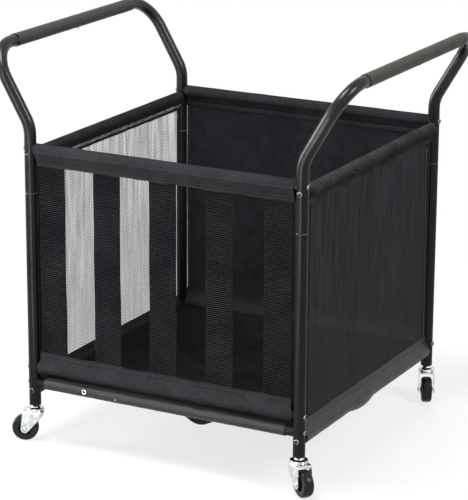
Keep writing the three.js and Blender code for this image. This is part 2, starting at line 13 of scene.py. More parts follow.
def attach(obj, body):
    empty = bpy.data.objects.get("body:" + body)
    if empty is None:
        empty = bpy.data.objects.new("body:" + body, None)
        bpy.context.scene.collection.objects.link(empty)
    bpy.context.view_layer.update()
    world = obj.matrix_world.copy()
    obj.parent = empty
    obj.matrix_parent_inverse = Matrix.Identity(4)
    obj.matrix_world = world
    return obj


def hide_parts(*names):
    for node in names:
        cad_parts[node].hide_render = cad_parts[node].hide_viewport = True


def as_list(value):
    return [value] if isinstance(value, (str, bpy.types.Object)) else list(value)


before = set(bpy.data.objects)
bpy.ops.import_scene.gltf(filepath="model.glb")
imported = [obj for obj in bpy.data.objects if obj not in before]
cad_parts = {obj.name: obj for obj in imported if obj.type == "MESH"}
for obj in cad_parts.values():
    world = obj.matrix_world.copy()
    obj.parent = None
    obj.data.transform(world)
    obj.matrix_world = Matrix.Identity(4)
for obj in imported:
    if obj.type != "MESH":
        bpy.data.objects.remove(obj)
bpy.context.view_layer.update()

MM = 0.001
TAU = 2 * math.pi

# Frame
FRAME_WIDTH = 545
FRAME_DEPTH = 555
POST_R = 11
TUBE_WALL = 0.8
POST_BORE = POST_R - TUBE_WALL
RAIL_R = 9.5
STRAP_RAIL_R = 8
HALF_W = FRAME_WIDTH / 2
HALF_D = FRAME_DEPTH / 2
POST_FOOT = 69.5
SIDE_BASE = POST_FOOT + 30
CROSS_BASE = POST_FOOT + 44.5
STRAP_RAIL_Z = POST_FOOT + 74
SEAM = POST_FOOT + 406
SIDE_TOP = POST_FOOT + 475
CROSS_TOP = POST_FOOT + 487
BEND = POST_FOOT + 528
BAR = POST_FOOT + 663
BAR_X = HALF_W + 79
LOWER_BEND = 60
UPPER_BEND = 62
SPIGOT_LENGTH = 40
BAR_SPIGOT_LENGTH = 32
SOCKET_LENGTH = 40
SPIGOT_R = POST_BORE - 0.3
SWAGE_LEAD = 1.5
GRIP_LENGTH = 208
GRIP_FOAM = 1.2
BAR_SCREW_FROM_SEAM = 14
SPARE_HOLE_Z = SIDE_TOP + 17.5
GAP = 0.3
CORNERS = {"front_left": (-1, -1), "front_right": (1, -1), "back_right": (1, 1), "back_left": (-1, 1)}
RAILS = {
    "rail_top_front": ("x", RAIL_R, (0, -HALF_D, CROSS_TOP)),
    "rail_top_back": ("x", RAIL_R, (0, HALF_D, CROSS_TOP)),
    "rail_top_left": ("y", RAIL_R, (-HALF_W, 0, SIDE_TOP)),
    "rail_top_right": ("y", RAIL_R, (HALF_W, 0, SIDE_TOP)),
    "rail_strap": ("x", STRAP_RAIL_R, (0, -HALF_D, STRAP_RAIL_Z)),
    "rail_base_front": ("x", RAIL_R, (0, -HALF_D, CROSS_BASE)),
    "rail_base_back": ("x", RAIL_R, (0, HALF_D, CROSS_BASE)),
    "rail_base_left": ("y", RAIL_R, (-HALF_W, 0, SIDE_BASE)),
    "rail_base_right": ("y", RAIL_R, (HALF_W, 0, SIDE_BASE)),
}
TURN = {"x": Matrix.Identity(4), "y": Matrix.Rotation(math.pi / 2, 4, "Z")}

# Casters
WHEEL_R = 25
TRAIL = 18.9
CROWN_BOTTOM = 56.9
FORK_SHEET = 2.2
CROWN_TOP = CROWN_BOTTOM + FORK_SHEET
CUP_TOP = CROWN_TOP + 2
RACE_R = 16.5
DISC_BOTTOM = CUP_TOP + 0.4
DISC_TOP = DISC_BOTTOM + 2.2
SHOULDER_TOP = DISC_TOP + 5.5
FORK_HALF = 15.4
FORK_NOSE = 16.4
FORK_TAIL = 23
FORK_SKIRT = 6.4
FORK_FOOT = 7.8
CASTER_YAW = {"front_left": 206, "front_right": -36, "back_right": -63, "back_left": 144}
ON_AXLE = Matrix.Translation((TRAIL, 0, WHEEL_R)) @ Matrix.Rotation(math.pi / 2, 4, "X")

# Cloth
CLOTH = 0.9
NET = 0.8
BACK_CLOTH = 1
STRAP_THICKNESS = 1.6
STRAP_WIDTH = 54
STRAP_PITCH = 114
HEM_TAPER = 20
CROSS_HEM_DROP = 28.5
SIDE_HEM_DROP = 26
BASE_HEM_RISE = 32
BAND_RISE = 31
SEAM_ALLOWANCE = 8
HEM_CLEAR = 0.6
CROSS_HEM = FRAME_WIDTH - 2 * (POST_R + HEM_CLEAR)
SIDE_HEM = FRAME_DEPTH - 2 * (POST_R + HEM_CLEAR)
PANEL_SIDE_GAP = 4
SLEEVE_LENGTH = FRAME_WIDTH - 2 * (POST_R + 14)
SLEEVE_TAPER = 14
SLEEVE_FLANGE = 20
SLACK_AT = -36
SLACK_REACH = 52
NET_LOW = SIDE_BASE + BASE_HEM_RISE - SEAM_ALLOWANCE
NET_HIGH = SIDE_TOP - SIDE_HEM_DROP + SEAM_ALLOWANCE
NET_HALF = SIDE_HEM / 2 - PANEL_SIDE_GAP
FLOOR_SAG = 44
FLOOR_HALF_X = 267.78
FLOOR_BACK = HALF_D - RAIL_R - GAP - CLOTH - GAP
FLOOR_FRONT = -HALF_D + SLEEVE_FLANGE - SEAM_ALLOWANCE
FLOOR_BORDER = SEAM_ALLOWANCE + GAP
RIB_PITCH = 3.7
STITCH_PITCH = 3.2
STITCH_SHARE = 0.72
THREAD = 0.7
BOLD_THREAD = 1.0
HEM_THREAD_END = (10.8, -100.8, 542.3)
NET_THREAD_END_Z = 506


def spread(low, high, count):
    """Values from low to high in so many equal steps."""
    return [low + (high - low) * i / count for i in range(count + 1)]


def limited(value, low=0.0, high=1.0):
    return max(low, min(high, value))


def peak(value, at, width):
    """1 at a place, falling evenly to 0 at a width from it."""
    return max(0.0, 1 - abs(value - at) / width)


def wobble(*place, size, seed):
    """Smooth noise from about -1 to 1 at a place in millimetres."""
    return noise.noise(Vector(place) / size + Vector((seed * 7.13, seed * 3.71, seed * 5.37)))


def creases(a, b, size, seed):
    """Long thin ridges, as of creased cloth, from 0 to 1."""
    return max(0.0, 1 - abs(wobble(a, b, 3, size=size, seed=seed)) * 2.6) ** 2


# Materials

class Nodes:
    """Adds nodes to a material or a node group, one value or link per socket."""

    def __init__(self, tree):
        self.tree = tree

    def add(self, kind, sockets=None, **settings):
        node = self.tree.nodes.new("ShaderNode" + kind)
        for key, value in settings.items():
            setattr(node, key, value)
        for key, value in (sockets or {}).items():
            self.feed(node.inputs[key], value)
        return node

    def feed(self, socket, value):
        """A link where the value is another node's output, a plain value otherwise."""
        if isinstance(value, bpy.types.NodeSocket):
            self.tree.links.new(value, socket)
        else:
            socket.default_value = value

    def math(self, operation, *values, clamp=False):
        sockets = dict(enumerate(values))
        return self.add("Math", sockets, operation=operation, use_clamp=clamp).outputs[0]

    def times(self, *values):
        return self.math("MULTIPLY", *values)

    def mapped(self, value, low, high, to_low, to_high, smooth=False):
        sockets = {"Value": value, "From Min": low, "From Max": high, "To Min": to_low, "To Max": to_high}
        kind = "SMOOTHSTEP" if smooth else "LINEAR"
        return self.add("MapRange", sockets, interpolation_type=kind).outputs["Result"]

    def between(self, share, low, high):
        return self.mapped(share, 0.0, 1.0, low, high)

    def mix(self, factor, first, second):
        """A colour between two, each a socket or its red, green and blue."""
        node = self.add("Mix", {0: factor}, data_type="RGBA")
        for index, value in ((6, first), (7, second)):
            self.feed(node.inputs[index], (*value, 1.0) if isinstance(value, tuple) else value)
        return node.outputs[2]

    def place(self):
        return self.add("TexCoord").outputs["Object"]

    def cloth_place(self):
        """The place on the flat cloth, in metres, as two numbers."""
        uv = self.add("UVMap", uv_map="cloth").outputs["UV"]
        parts = self.add("SeparateXYZ", {"Vector": uv}).outputs
        return parts["X"], parts["Y"]

    def noise(self, size_mm, detail=2.0, stretch=(1, 1, 1), roughness=0.5):
        """Noise whose patches are about size_mm across, from the place on the object."""
        place = self.add("Mapping", {"Vector": self.place(), "Scale": stretch}).outputs[0]
        scale = self.math("DIVIDE", 1000, size_mm)
        sockets = {"Vector": place, "Scale": scale, "Detail": detail, "Roughness": roughness}
        return self.add("TexNoise", sockets).outputs[0]

    def seen(self):
        """1 where the camera looks, straight or by way of metal or glass, and 0 for light on the object."""
        ray = self.add("LightPath").outputs
        bounced = self.math("MAXIMUM", ray["Is Glossy Ray"], ray["Is Transmission Ray"])
        return self.math("MAXIMUM", ray["Is Camera Ray"], bounced)


def effect(name, inputs, outputs):
    """A node group with named number sockets, still empty: (nodes, its inputs, its outputs)."""
    tree = bpy.data.node_groups.new(name, "ShaderNodeTree")
    for label, value in inputs.items():
        socket = tree.interface.new_socket(name=label, in_out="INPUT", socket_type="NodeSocketFloat")
        socket.default_value = value
    for label in outputs:
        tree.interface.new_socket(name=label, in_out="OUTPUT", socket_type="NodeSocketFloat")
    return Nodes(tree), tree.nodes.new("NodeGroupInput").outputs, tree.nodes.new("NodeGroupOutput").inputs


def grain_effect():
    """Fine grain, as of powder coat, foam or moulded rubber: a shade from 0 to 1 and a height."""
    nodes, given, out = effect("grain", {"Size": 1.0, "Contrast": 1.0}, ["Shade", "Height"])
    value = nodes.noise(given["Size"], detail=3.0, roughness=0.6)
    contrast = nodes.times(nodes.math("SUBTRACT", value, 0.5), given["Contrast"])
    nodes.feed(out["Shade"], nodes.math("ADD", contrast, 0.5, clamp=True))
    nodes.feed(out["Height"], value)


def handling_effect():
    """Broad uneven patches left by handling and dust: a shade from 0 to 1."""
    nodes, given, out = effect("handling", {"Size": 70.0}, ["Shade"])
    value = nodes.noise(given["Size"], detail=4.0, roughness=0.62)
    nodes.feed(out["Shade"], nodes.mapped(value, 0.32, 0.68, 0.0, 1.0, smooth=True))


def edge_wear_effect():
    """Where a finish is thin or rubbed through: the mesh's wear value, broken up by a fine noise."""
    nodes, given, out = effect("edge_wear", {"Amount": 1.0}, ["Mask"])
    wear = nodes.add("Attribute", attribute_name="wear").outputs["Fac"]
    broken = nodes.mapped(nodes.noise(1.6, detail=3.0), 0.35, 0.65, 0.25, 1.0)
    nodes.feed(out["Mask"], nodes.math("MULTIPLY", nodes.times(wear, broken), given["Amount"], clamp=True))


def weave_effect():
    """Plain weave on the flat cloth: threads that pass over and under each other. Its Shade is painted light
    on their crowns and painted shade between them, with slubs of the cloth's own colour.
    """
    nodes, given, out = effect("weave", {"Thread": 0.9, "Slub": 0.4}, ["Shade", "Height"])
    per_metre = nodes.math("DIVIDE", 1000, given["Thread"])
    u, v = [nodes.times(x, per_metre) for x in nodes.cloth_place()]
    crowns = [nodes.math("ABSOLUTE", nodes.math("SINE", nodes.times(x, math.pi))) for x in (u, v)]
    cells = nodes.math("ADD", nodes.math("FLOOR", u), nodes.math("FLOOR", v))
    odd = nodes.math("FLOORED_MODULO", cells, 2)
    over = nodes.times(crowns[0], nodes.math("SUBTRACT", 1, odd))
    height = nodes.math("ADD", over, nodes.times(crowns[1], odd))
    slub = nodes.mapped(nodes.noise(2.4, stretch=(1, 1, 0.3)), 0.3, 0.7, -0.5, 0.5)
    nodes.feed(out["Shade"], nodes.math("ADD", height, nodes.times(slub, given["Slub"]), clamp=True))
    nodes.feed(out["Height"], height)


def net_effect():
    """Knitted net on the flat cloth: square holes with round corners, drawn tighter where it is gathered."""
    given = {"Across": 3.4, "Along": 3.8, "Hole": 0.34, "Edge": 0.12, "Gather": 0.0}
    nodes, given, out = effect("net", given, ["Cover", "Height"])
    roundness = 3.4
    u, v = nodes.cloth_place()
    gathered = nodes.mapped(nodes.noise(11, stretch=(1, 1, 0.1)), 0.3, 0.7, -1.0, 1.0)
    drawn = nodes.times(nodes.times(gathered, nodes.mapped(u, 0.2, 0.52, 0.25, 1.0)), given["Gather"])
    hole = nodes.times(given["Hole"], nodes.math("ADD", drawn, nodes.mapped(u, 0.2, 0.52, 0.97, 1.05)))
    powers = []
    for place, pitch in ((u, given["Across"]), (v, given["Along"])):
        cell = nodes.math("FRACT", nodes.math("DIVIDE", nodes.times(place, 1000), pitch))
        off = nodes.math("ABSOLUTE", nodes.math("SUBTRACT", cell, 0.5))
        powers.append(nodes.math("POWER", off, roundness))
    reach = nodes.math("POWER", nodes.math("ADD", *powers), 1 / roundness)
    soft = nodes.times(given["Edge"], 0.5)
    low, high = nodes.math("SUBTRACT", hole, soft), nodes.math("ADD", hole, soft)
    nodes.feed(out["Cover"], nodes.mapped(reach, low, high, 0.0, 1.0, smooth=True))
    nodes.feed(out["Height"], reach)


class Finish:
    """A material in the making: one Principled shader and the effects that feed it."""

    def __init__(self, name, **plain):
        self.material = bpy.data.materials.new(name)
        self.material.use_nodes = True
        self.nodes = Nodes(self.material.node_tree)
        self.shader = self.material.node_tree.nodes["Principled BSDF"]
        self.normal = None
        self.broad = None
        for key, value in plain.items():
            self.feed(key.replace("_", " "), value)

    def feed(self, label, value):
        self.nodes.feed(self.shader.inputs[label], value)

    def effect(self, name, **values):
        sockets = {key.capitalize(): value for key, value in values.items()}
        return self.nodes.add("Group", sockets, node_tree=bpy.data.node_groups[name]).outputs

    def patches(self, size, rough):
        """The broad patches of handling, which also set the roughness."""
        self.broad = self.effect("handling", size=size)["Shade"]
        self.feed("Roughness", self.nodes.between(self.broad, *rough))
        return self.broad

    def bump(self, height, depth_mm, strength):
        sockets = {"Height": height, "Distance": depth_mm * MM, "Strength": strength}
        if self.normal:
            sockets["Normal"] = self.normal
        self.normal = self.nodes.add("Bump", sockets).outputs[0]
        self.feed("Normal", self.normal)


def solid_finish(name, grain, shades, rough, patches=None, zinc=False, faded=None, rubbed=None, relief=None,
                 **plain):
    """A finish of hard or foamed stuff: two shades by its grain, patches, wear and a fine relief.

    grain is (size, contrast), rubbed (amount, colour) and relief (depth, strength). Where there are patches of
    handling they set the roughness, but on zinc they set its two shades.
    """
    finish = Finish(name, **plain)
    fine = finish.effect("grain", size=grain[0], contrast=grain[1])
    if patches:
        finish.patches(patches, rough)
    if zinc or not patches:
        finish.feed("Roughness", finish.nodes.between(fine["Shade"], *rough))
    colour = finish.nodes.mix(finish.broad if zinc else fine["Shade"], *shades)
    if faded:
        colour = finish.nodes.mix(finish.nodes.times(finish.broad, 0.35), colour, faded)
    if rubbed:
        colour = finish.nodes.mix(finish.effect("edge_wear", amount=rubbed[0])["Mask"], colour, rubbed[1])
    finish.feed("Base Color", colour)
    if relief:
        finish.bump(fine["Height"], *relief)
    return finish


def tube_coat():
    """Black powder coat with a thin gloss, polished by hands on the handles, and light grey at its rims: bare
    steel where rubbed, and at the post-to-handle seam also a painted highlight.
    """
    finish = solid_finish(
        "tube_coat", (1.1, 1.2), ((0.0032, 0.0032, 0.0038), (0.0066, 0.0066, 0.0075)), (0.28, 0.4),
        patches=85.0, rubbed=(1.0, (0.30, 0.30, 0.31)), relief=(0.02, 0.3),
        Specular_IOR_Level=0.02, Coat_Roughness=0.28)
    nodes = finish.nodes
    height = nodes.add("SeparateXYZ", {"Vector": nodes.place()}).outputs["Z"]
    polished = nodes.mapped(height, 0.54, 0.66, 0.34, 0.66, smooth=True)
    finish.feed("Coat Weight", nodes.times(polished, nodes.between(finish.broad, 1.1, 0.85)))
    return finish


def grip_foam(name, *shades):
    """Closed-cell foam: matt, slightly mottled, with fine pores."""
    return solid_finish(
        name, (0.9, 2.2), shades[:2], (0.55, 0.75), patches=45.0, faded=shades[2], relief=(0.25, 0.5),
        Specular_IOR_Level=0.15, Sheen_Weight=0.05, Sheen_Roughness=0.5)


def wheel_rubber():
    """Moulded rubber tread with a gloss, greyed by the floor along its crown, and with a lighter ring of
    painted light on each side face.
    """
    finish = solid_finish(
        "wheel_rubber", (0.9, 1.4), ((0.004, 0.004, 0.0043), (0.010, 0.010, 0.011)), (0.3, 0.45), patches=16.0,
        rubbed=(0.8, (0.055, 0.055, 0.058)), relief=(0.08, 0.3), Specular_IOR_Level=0.05, Coat_Roughness=0.2)
    finish.feed("Coat Weight", finish.nodes.between(finish.broad, 0.38, 0.22))
    return finish


def sewing_thread(name, *shades):
    return solid_finish(name, (0.5, 2.0), shades, (0.45, 0.6), Specular_IOR_Level=0.08)


def fastener(name, dark, light, rim, *rough):
    """A fastener's finish, lighter where the mesh's wear value is high; on the screw heads that is a painted
    highlight.
    """
    return solid_finish(
        name, (0.6, 1.8), (dark, light), rough, rubbed=(1.0, rim), relief=(0.05, 0.3), Metallic=0.85)


def woven(name, dark, light, thread, rough, slub=0.5, specular=0.0, cord=None):
    """A woven cloth: painted shade between its threads and painted light on their crowns, with slubs of its
    own colour and maybe cords with painted shade between them.
    """
    finish = Finish(name, Specular_IOR_Level=specular)
    nodes = finish.nodes
    weave = finish.effect("weave", thread=thread, slub=slub)
    shade = weave["Shade"]
    if cord:
        raised = nodes.math("COSINE", nodes.times(nodes.cloth_place()[0], 1000 * TAU / cord))
        raised = nodes.mapped(raised, -1.0, 1.0, 0.0, 1.0)
        # Painted shade in the grooves between the cords: the colour falls to a tenth there.
        shade = nodes.times(shade, nodes.between(raised, 0.1, 1.0))
        finish.bump(raised, 0.6, 0.7)
    patches = finish.patches(38.0, (rough - 0.06, rough + 0.06))
    faded = tuple(1.35 * part for part in light)
    finish.feed("Base Color", nodes.mix(nodes.times(patches, 0.3), nodes.mix(shade, dark, light), faded))
    finish.bump(weave["Height"], 0.3, 0.6)
    return finish


def elastic_webbing():
    """Ribbed elastic: painted shade between its cross ribs and painted light on them, with short light flecks
    of thread along them.
    """
    finish = Finish("elastic_webbing", Specular_IOR_Level=0.0)
    nodes = finish.nodes
    rib = nodes.math("COSINE", nodes.times(nodes.cloth_place()[0], 1000 * TAU / RIB_PITCH))
    rib = nodes.mapped(rib, -1.0, 1.0, 0.0, 1.0)
    fleck = nodes.mapped(nodes.noise(1.3, stretch=(0.5, 1, 1.0)), 0.35, 0.65, 0.3, 1.0)
    # Painted shade in the grooves: the colour falls towards dark between the ribs, and is lightest on their
    # crowns.
    shade = nodes.times(nodes.math("POWER", rib, 1.6), fleck)
    broad = finish.effect("handling", size=60.0)["Shade"]
    light = nodes.mix(broad, (0.044, 0.0435, 0.048), (0.072, 0.071, 0.077))
    finish.feed("Base Color", nodes.mix(shade, (0.0030, 0.0030, 0.0042), light))
    finish.feed("Roughness", nodes.between(fleck, 0.8, 0.6))
    finish.bump(rib, 0.2, 0.6)
    return finish


def net_cloth(name, tint, hole, across, along, gather):
    """Open knitted net; what lies behind it shows through its holes."""
    finish = Finish(name, Specular_IOR_Level=0.04)
    net = finish.effect("net", across=across, along=along, hole=hole, edge=0.14, gather=gather)
    light = tuple(1.5 * part for part in tint)
    finish.feed("Base Color", finish.nodes.mix(finish.patches(60.0, (0.5, 0.65)), tint, light))
    finish.feed("Alpha", net["Cover"])
    finish.bump(net["Height"], 0.4, 0.5)
    return finish


def binding_tape():
    """Folded black tape with some gloss, and a light grey painted sheen on the ridges where its stitches
    pucker it.
    """
    finish = Finish("binding_tape", Specular_IOR_Level=0.15)
    weave = finish.effect("weave", thread=0.7, slub=0.6)
    # The wear value marks a painted sheen: light grey where the tape's puckered ridges catch the light.
    painted_sheen = finish.effect("edge_wear", amount=2.2)["Mask"]
    cloth = finish.nodes.mix(weave["Shade"], (0.005, 0.005, 0.0055), (0.014, 0.014, 0.015))
    finish.feed("Base Color", finish.nodes.mix(painted_sheen, cloth, (0.60, 0.60, 0.61)))
    finish.patches(9.0, (0.3, 0.5))
    finish.bump(weave["Height"], 0.15, 0.5)
    return finish


grain_effect()
handling_effect()
edge_wear_effect()
weave_effect()
net_effect()

# Each finish with the slot that its pieces belong to
FINISHES = {
    "tube": ("frame_tube", tube_coat()),
    "grip": ("grip_foam", grip_foam(
        "grip_foam", (0.029, 0.029, 0.031), (0.060, 0.060, 0.063), (0.076, 0.076, 0.079))),
    "grip_right": ("grip_foam", grip_foam(
        "grip_foam_right", (0.033, 0.033, 0.028), (0.067, 0.066, 0.057), (0.083, 0.082, 0.072))),
    "plastic": ("socket_plastic", solid_finish(
        "socket_plastic", (0.8, 1.2), ((0.008, 0.008, 0.008), (0.018, 0.018, 0.018)), (0.4, 0.55),
        Specular_IOR_Level=0.2)),
    "zinc": ("caster_steel", solid_finish(
        "zinc_plate", (0.7, 1.6), ((0.50, 0.52, 0.54), (0.80, 0.82, 0.83)), (0.12, 0.27), patches=14.0,
        zinc=True, rubbed=(0.8, (0.22, 0.21, 0.20)), relief=(0.05, 0.25), Metallic=1.0)),
    "rubber": ("wheel_rubber", wheel_rubber()),
    "oxford": ("oxford_cloth", woven(
        "oxford_cloth", (0.006, 0.006, 0.0073), (0.048, 0.047, 0.052), 1.1, 0.75, slub=0.35)),
    # A darker copy of the oxford cloth, painted shade, for the inner hems, the nets' edge hems and the back
    # panel's bindings.
    "oxford_painted_shade": ("oxford_cloth", woven(
        "oxford_cloth_painted_shade", (0.005, 0.005, 0.006), (0.038, 0.038, 0.043), 1.1, 0.7, slub=0.4)),
    "sleeve": ("oxford_cloth", woven(
        "sleeve_cloth", (0.004, 0.004, 0.005), (0.034, 0.034, 0.037), 1.6, 0.4, slub=1.4, specular=0.3)),
    "side_web": ("oxford_cloth", woven(
        "side_webbing", (0.003, 0.003, 0.0035), (0.088, 0.088, 0.090), 1.8, 0.62, slub=0.3, cord=7.6)),
    "back": ("back_cloth", woven("back_cloth", (0.006, 0.006, 0.0072), (0.029, 0.0295, 0.034), 0.9, 0.75)),
    "elastic": ("elastic_webbing", elastic_webbing()),
    "selvedge": ("elastic_webbing", woven(
        "elastic_selvedge", (0.014, 0.014, 0.016), (0.040, 0.040, 0.044), 0.8, 0.6)),
    "net": ("mesh_cloth", net_cloth("net_cloth", (0.033, 0.034, 0.038), 0.332, 3.0, 3.7, 0.2)),
    # The floor's net: the net cloth painted far darker and with its holes closed, as painted shade over the
    # bag's floor.
    "floor_net": ("mesh_cloth", net_cloth("floor_net", (0.007, 0.007, 0.008), -0.1, 2.4, 2.4, 0.1)),
    "binding": ("oxford_cloth", binding_tape()),
    "thread": ("oxford_cloth", sewing_thread(
        "sewing_thread", (0.060, 0.060, 0.064), (0.13, 0.13, 0.137))),
    "dark_thread": ("oxford_cloth", sewing_thread(
        "dark_thread", (0.016, 0.016, 0.017), (0.040, 0.040, 0.042))),
    "light_thread": ("oxford_cloth", sewing_thread(
        "light_thread", (0.17, 0.17, 0.18), (0.34, 0.34, 0.35))),
    # The screws' light rim colour is a painted highlight.
    "screw": ("caster_steel", fastener(
        "screw_black", (0.006, 0.006, 0.006), (0.016, 0.016, 0.016), (0.72, 0.71, 0.70), 0.25, 0.42)),
    "nut": ("caster_steel", fastener(
        "nut_zinc", (0.55, 0.56, 0.57), (0.75, 0.76, 0.77), (0.85, 0.85, 0.85), 0.15, 0.3)),
}


# Shapes

class Form:
    """Points in millimetres with faces, places on the flat cloth and wear, gathered into one mesh."""

    def __init__(self):
        self.points, self.faces, self.cloth, self.wear = [], [], [], []

    def face(self, corners, uv=None, flip=False):
        corners, uv = list(corners), uv or [(0, 0)] * len(corners)
        self.faces.append(corners[::-1] if flip else corners)
        self.cloth.append(uv[::-1] if flip else uv)

    def grid(self, rows, closed=False, us=None, vs=None, wear=None, flip=False, cap=False):
        """Rows of points joined into quads. closed joins the last column to the first; cap fills both ends."""
        start, count = len(self.points), len(rows[0])
        self.points += [tuple(p) for row in rows for p in row]
        self.wear += [wear(i, j) if wear else 0.0 for i in range(len(rows)) for j in range(count)]
        for i in range(len(rows) - 1):
            near, far = start + i * count, start + (i + 1) * count
            for j in range(count if closed else count - 1):
                k = (j + 1) % count
                uv = us and [(us[i], vs[j]), (us[i], vs[j + 1]), (us[i + 1], vs[j + 1]), (us[i + 1], vs[j])]
                self.face([near + j, near + k, far + k, far + j], uv, flip)
        if cap:
            self.face(range(start, start + count), flip=not flip)
            self.face(range(len(self.points) - count, len(self.points)), flip=flip)
        return self

    def moved(self, matrix):
        self.points = [tuple(matrix @ Vector(p)) for p in self.points]
        return self

    def take(self, other):
        start = len(self.points)
        self.points += other.points
        self.wear += other.wear
        self.faces += [[start + k for k in face] for face in other.faces]
        self.cloth += other.cloth

    def mesh(self, name):
        mesh = bpy.data.meshes.new(name)
        mesh.from_pydata([Vector(p) * MM for p in self.points], [], self.faces)
        flat = [value * MM for uvs in self.cloth for uv in uvs for value in uv]
        mesh.uv_layers.new(name="cloth").data.foreach_set("uv", flat)
        mesh.attributes.new("wear", "FLOAT", "POINT").data.foreach_set("value", self.wear)
        return mesh


def loft(rows, us=None, vs=None, wear=None):
    """A closed solid through rings of points."""
    return Form().grid(rows, closed=True, us=us, vs=vs, wear=wear, cap=True)


def placed(name, data):
    """A new object in the scene."""
    obj = bpy.data.objects.new(name, data)
    bpy.context.scene.collection.objects.link(obj)
    return obj


def finished(mesh, sharp):
    """Smooth shading and, given an angle in degrees, outward normals and sharp edges beyond it."""
    if sharp:
        work = bmesh.new()
        work.from_mesh(mesh)
        bmesh.ops.remove_doubles(work, verts=work.verts, dist=1e-7)
        bmesh.ops.recalc_face_normals(work, faces=work.faces)
        work.to_mesh(mesh)
        work.free()
    mesh.polygons.foreach_set("use_smooth", [True] * len(mesh.polygons))
    if sharp:
        mesh.set_sharp_from_angle(angle=math.radians(sharp))
    return mesh


def piece(name, form, finish, stands_for=None, body="cart", sharp=38):
    """A visible piece on a body, in the place of the node that it stands for."""
    mesh = finished(form.mesh(name) if isinstance(form, Form) else form, sharp)
    obj = placed(name, mesh)
    slot, look = FINISHES[finish]
    mesh.materials.append(look.material)
    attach(obj, body)
    if stands_for:
        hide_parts(stands_for)
    return obj


def fillet(outline, radius, steps=3):
    """The closed outline with each corner rounded, where its sides are long enough for it."""
    done, count = [], len(outline)
    for i, corner in enumerate(outline):
        size = radius[i] if isinstance(radius, (list, tuple)) else radius
        corner = Vector(corner)
        before, after = Vector(outline[i - 1]) - corner, Vector(outline[(i + 1) % count]) - corner
        reach = min(size, 0.45 * before.length, 0.45 * after.length)
        if reach < 1e-3 or (corner.x < 1e-6 and (before.x < 1e-6 or after.x < 1e-6)):
            done.append(tuple(corner))
            continue
        a, b = corner + before.normalized() * reach, corner + after.normalized() * reach
        done += [tuple(a * (1 - t) ** 2 + corner * 2 * t * (1 - t) + b * t ** 2) for t in spread(0, 1, steps)]
    return done


def lengths_along(line):
    run = [0.0]
    for a, b in zip(line, line[1:]):
        run.append(run[-1] + (Vector(b) - Vector(a)).length)
    return run


def circle(radius, z, sides):
    return [(radius * math.cos(TAU * j / sides), radius * math.sin(TAU * j / sides), z) for j in range(sides)]


def ring_at(centre, side, up, radius, sides):
    """A ring about a centre, in the plane of two directions."""
    return [centre + side * x + up * y for x, y, z in circle(radius, 0, sides)]


def lathe(outline, sides=40, wear=None):
    """A solid of revolution about Z from a closed outline of (radius, height)."""
    ring = [*outline, outline[0]]
    rows, us = [circle(r, z, sides) for r, z in ring], lengths_along(ring)
    vs = spread(0, TAU * max(r for r, z in outline), sides)
    return Form().grid(rows, closed=True, us=us, vs=vs, wear=wear and (lambda i, j: wear(*ring[i])))


def parallel_frames(stations):
    """Side and up vectors along a path, carried without twist."""
    last = len(stations) - 1
    tangents = [(stations[min(i + 1, last)] - stations[max(i - 1, 0)]).normalized() for i in range(last + 1)]
    side, frames = tangents[0].orthogonal().normalized(), []
    for tangent in tangents:
        side = (side - tangent * side.dot(tangent)).normalized()
        frames.append((side, tangent.cross(side)))
    return frames


def tube_along(stations, radii, rubbed, sides=40):
    """A tube with an outer and an inner radius at each station. rubbed, from 0 to 1, paints its first rim
    lighter, partly as wear and partly as a painted highlight.
    """
    frames, order = parallel_frames(stations), range(len(stations))
    rows = [ring_at(stations[i], *frames[i], radii[i][0], sides) for i in order]
    rows += [ring_at(stations[i], *frames[i], radii[i][1], sides) for i in reversed(order)]
    rows.append(rows[0])
    us, vs = lengths_along([row[0] for row in rows]), spread(0, TAU * radii[0][0], sides)
    return Form().grid(rows, closed=True, us=us, vs=vs, wear=lambda i, j: rubbed if i < 2 else 0.0)


def cord_along(stations, radius, sides=6):
    """A solid cord with closed ends."""
    frames = parallel_frames(stations)
    return loft([ring_at(at, *turned, radius, sides) for at, turned in zip(stations, frames)])


def rounded_corner(a, b, c, radius, steps):
    """Stations of the arc that rounds the corner b between a and c."""
    back, ahead = (a - b).normalized(), (c - b).normalized()
    half = back.angle(ahead) / 2
    centre = b + (back + ahead).normalized() * (radius / math.sin(half))
    reach = radius / math.tan(half)
    start, end = b + back * reach - centre, b + ahead * reach - centre
    axis, sweep = start.cross(end).normalized(), start.angle(end)
    return [centre + Matrix.Rotation(turn, 3, axis) @ start for turn in spread(0, sweep, steps)]


def aimed(at, direction, roll=0.0):
    """The matrix that takes Z to a direction at a place."""
    turn = Vector(direction).to_track_quat("Z", "Y").to_matrix().to_4x4()
    return Matrix.Translation(at) @ turn @ Matrix.Rotation(roll, 4, "Z")


# Frame

def at_corner(x, y):
    return Matrix.Translation((x * HALF_W, y * HALF_D, 0))


def post(name, x, y):
    outline = fillet([
        (POST_BORE, POST_FOOT), (POST_R, POST_FOOT), (POST_R, POST_FOOT + 1.2),
        (POST_R, SEAM - SWAGE_LEAD - 1.5), (POST_R, SEAM - SWAGE_LEAD), (SPIGOT_R, SEAM - 0.2),
        (SPIGOT_R, SEAM + SPIGOT_LENGTH), (SPIGOT_R - TUBE_WALL, SEAM + SPIGOT_LENGTH),
        (SPIGOT_R - TUBE_WALL, SEAM - SWAGE_LEAD), (POST_BORE, SEAM - 2 * SWAGE_LEAD - 1.5),
    ], [0.2, 0.35, 0, 0, 0.5, 0.3, 0.3, 0.3, 0.4, 0.4])

    # The light line at the seam is partly bare steel at the swaged edge and partly a painted highlight; the
    # rim at the foot is rubbed.
    def wear(r, z):
        return 0.6 * peak(z, SEAM - 0.5, 1.4) + (0.45 * peak(z, POST_FOOT, 0.8) if r > POST_BORE else 0)

    piece(f"lower_post_{name}", lathe(outline, 48, wear).moved(at_corner(x, y)), "tube", f"post_{name}")


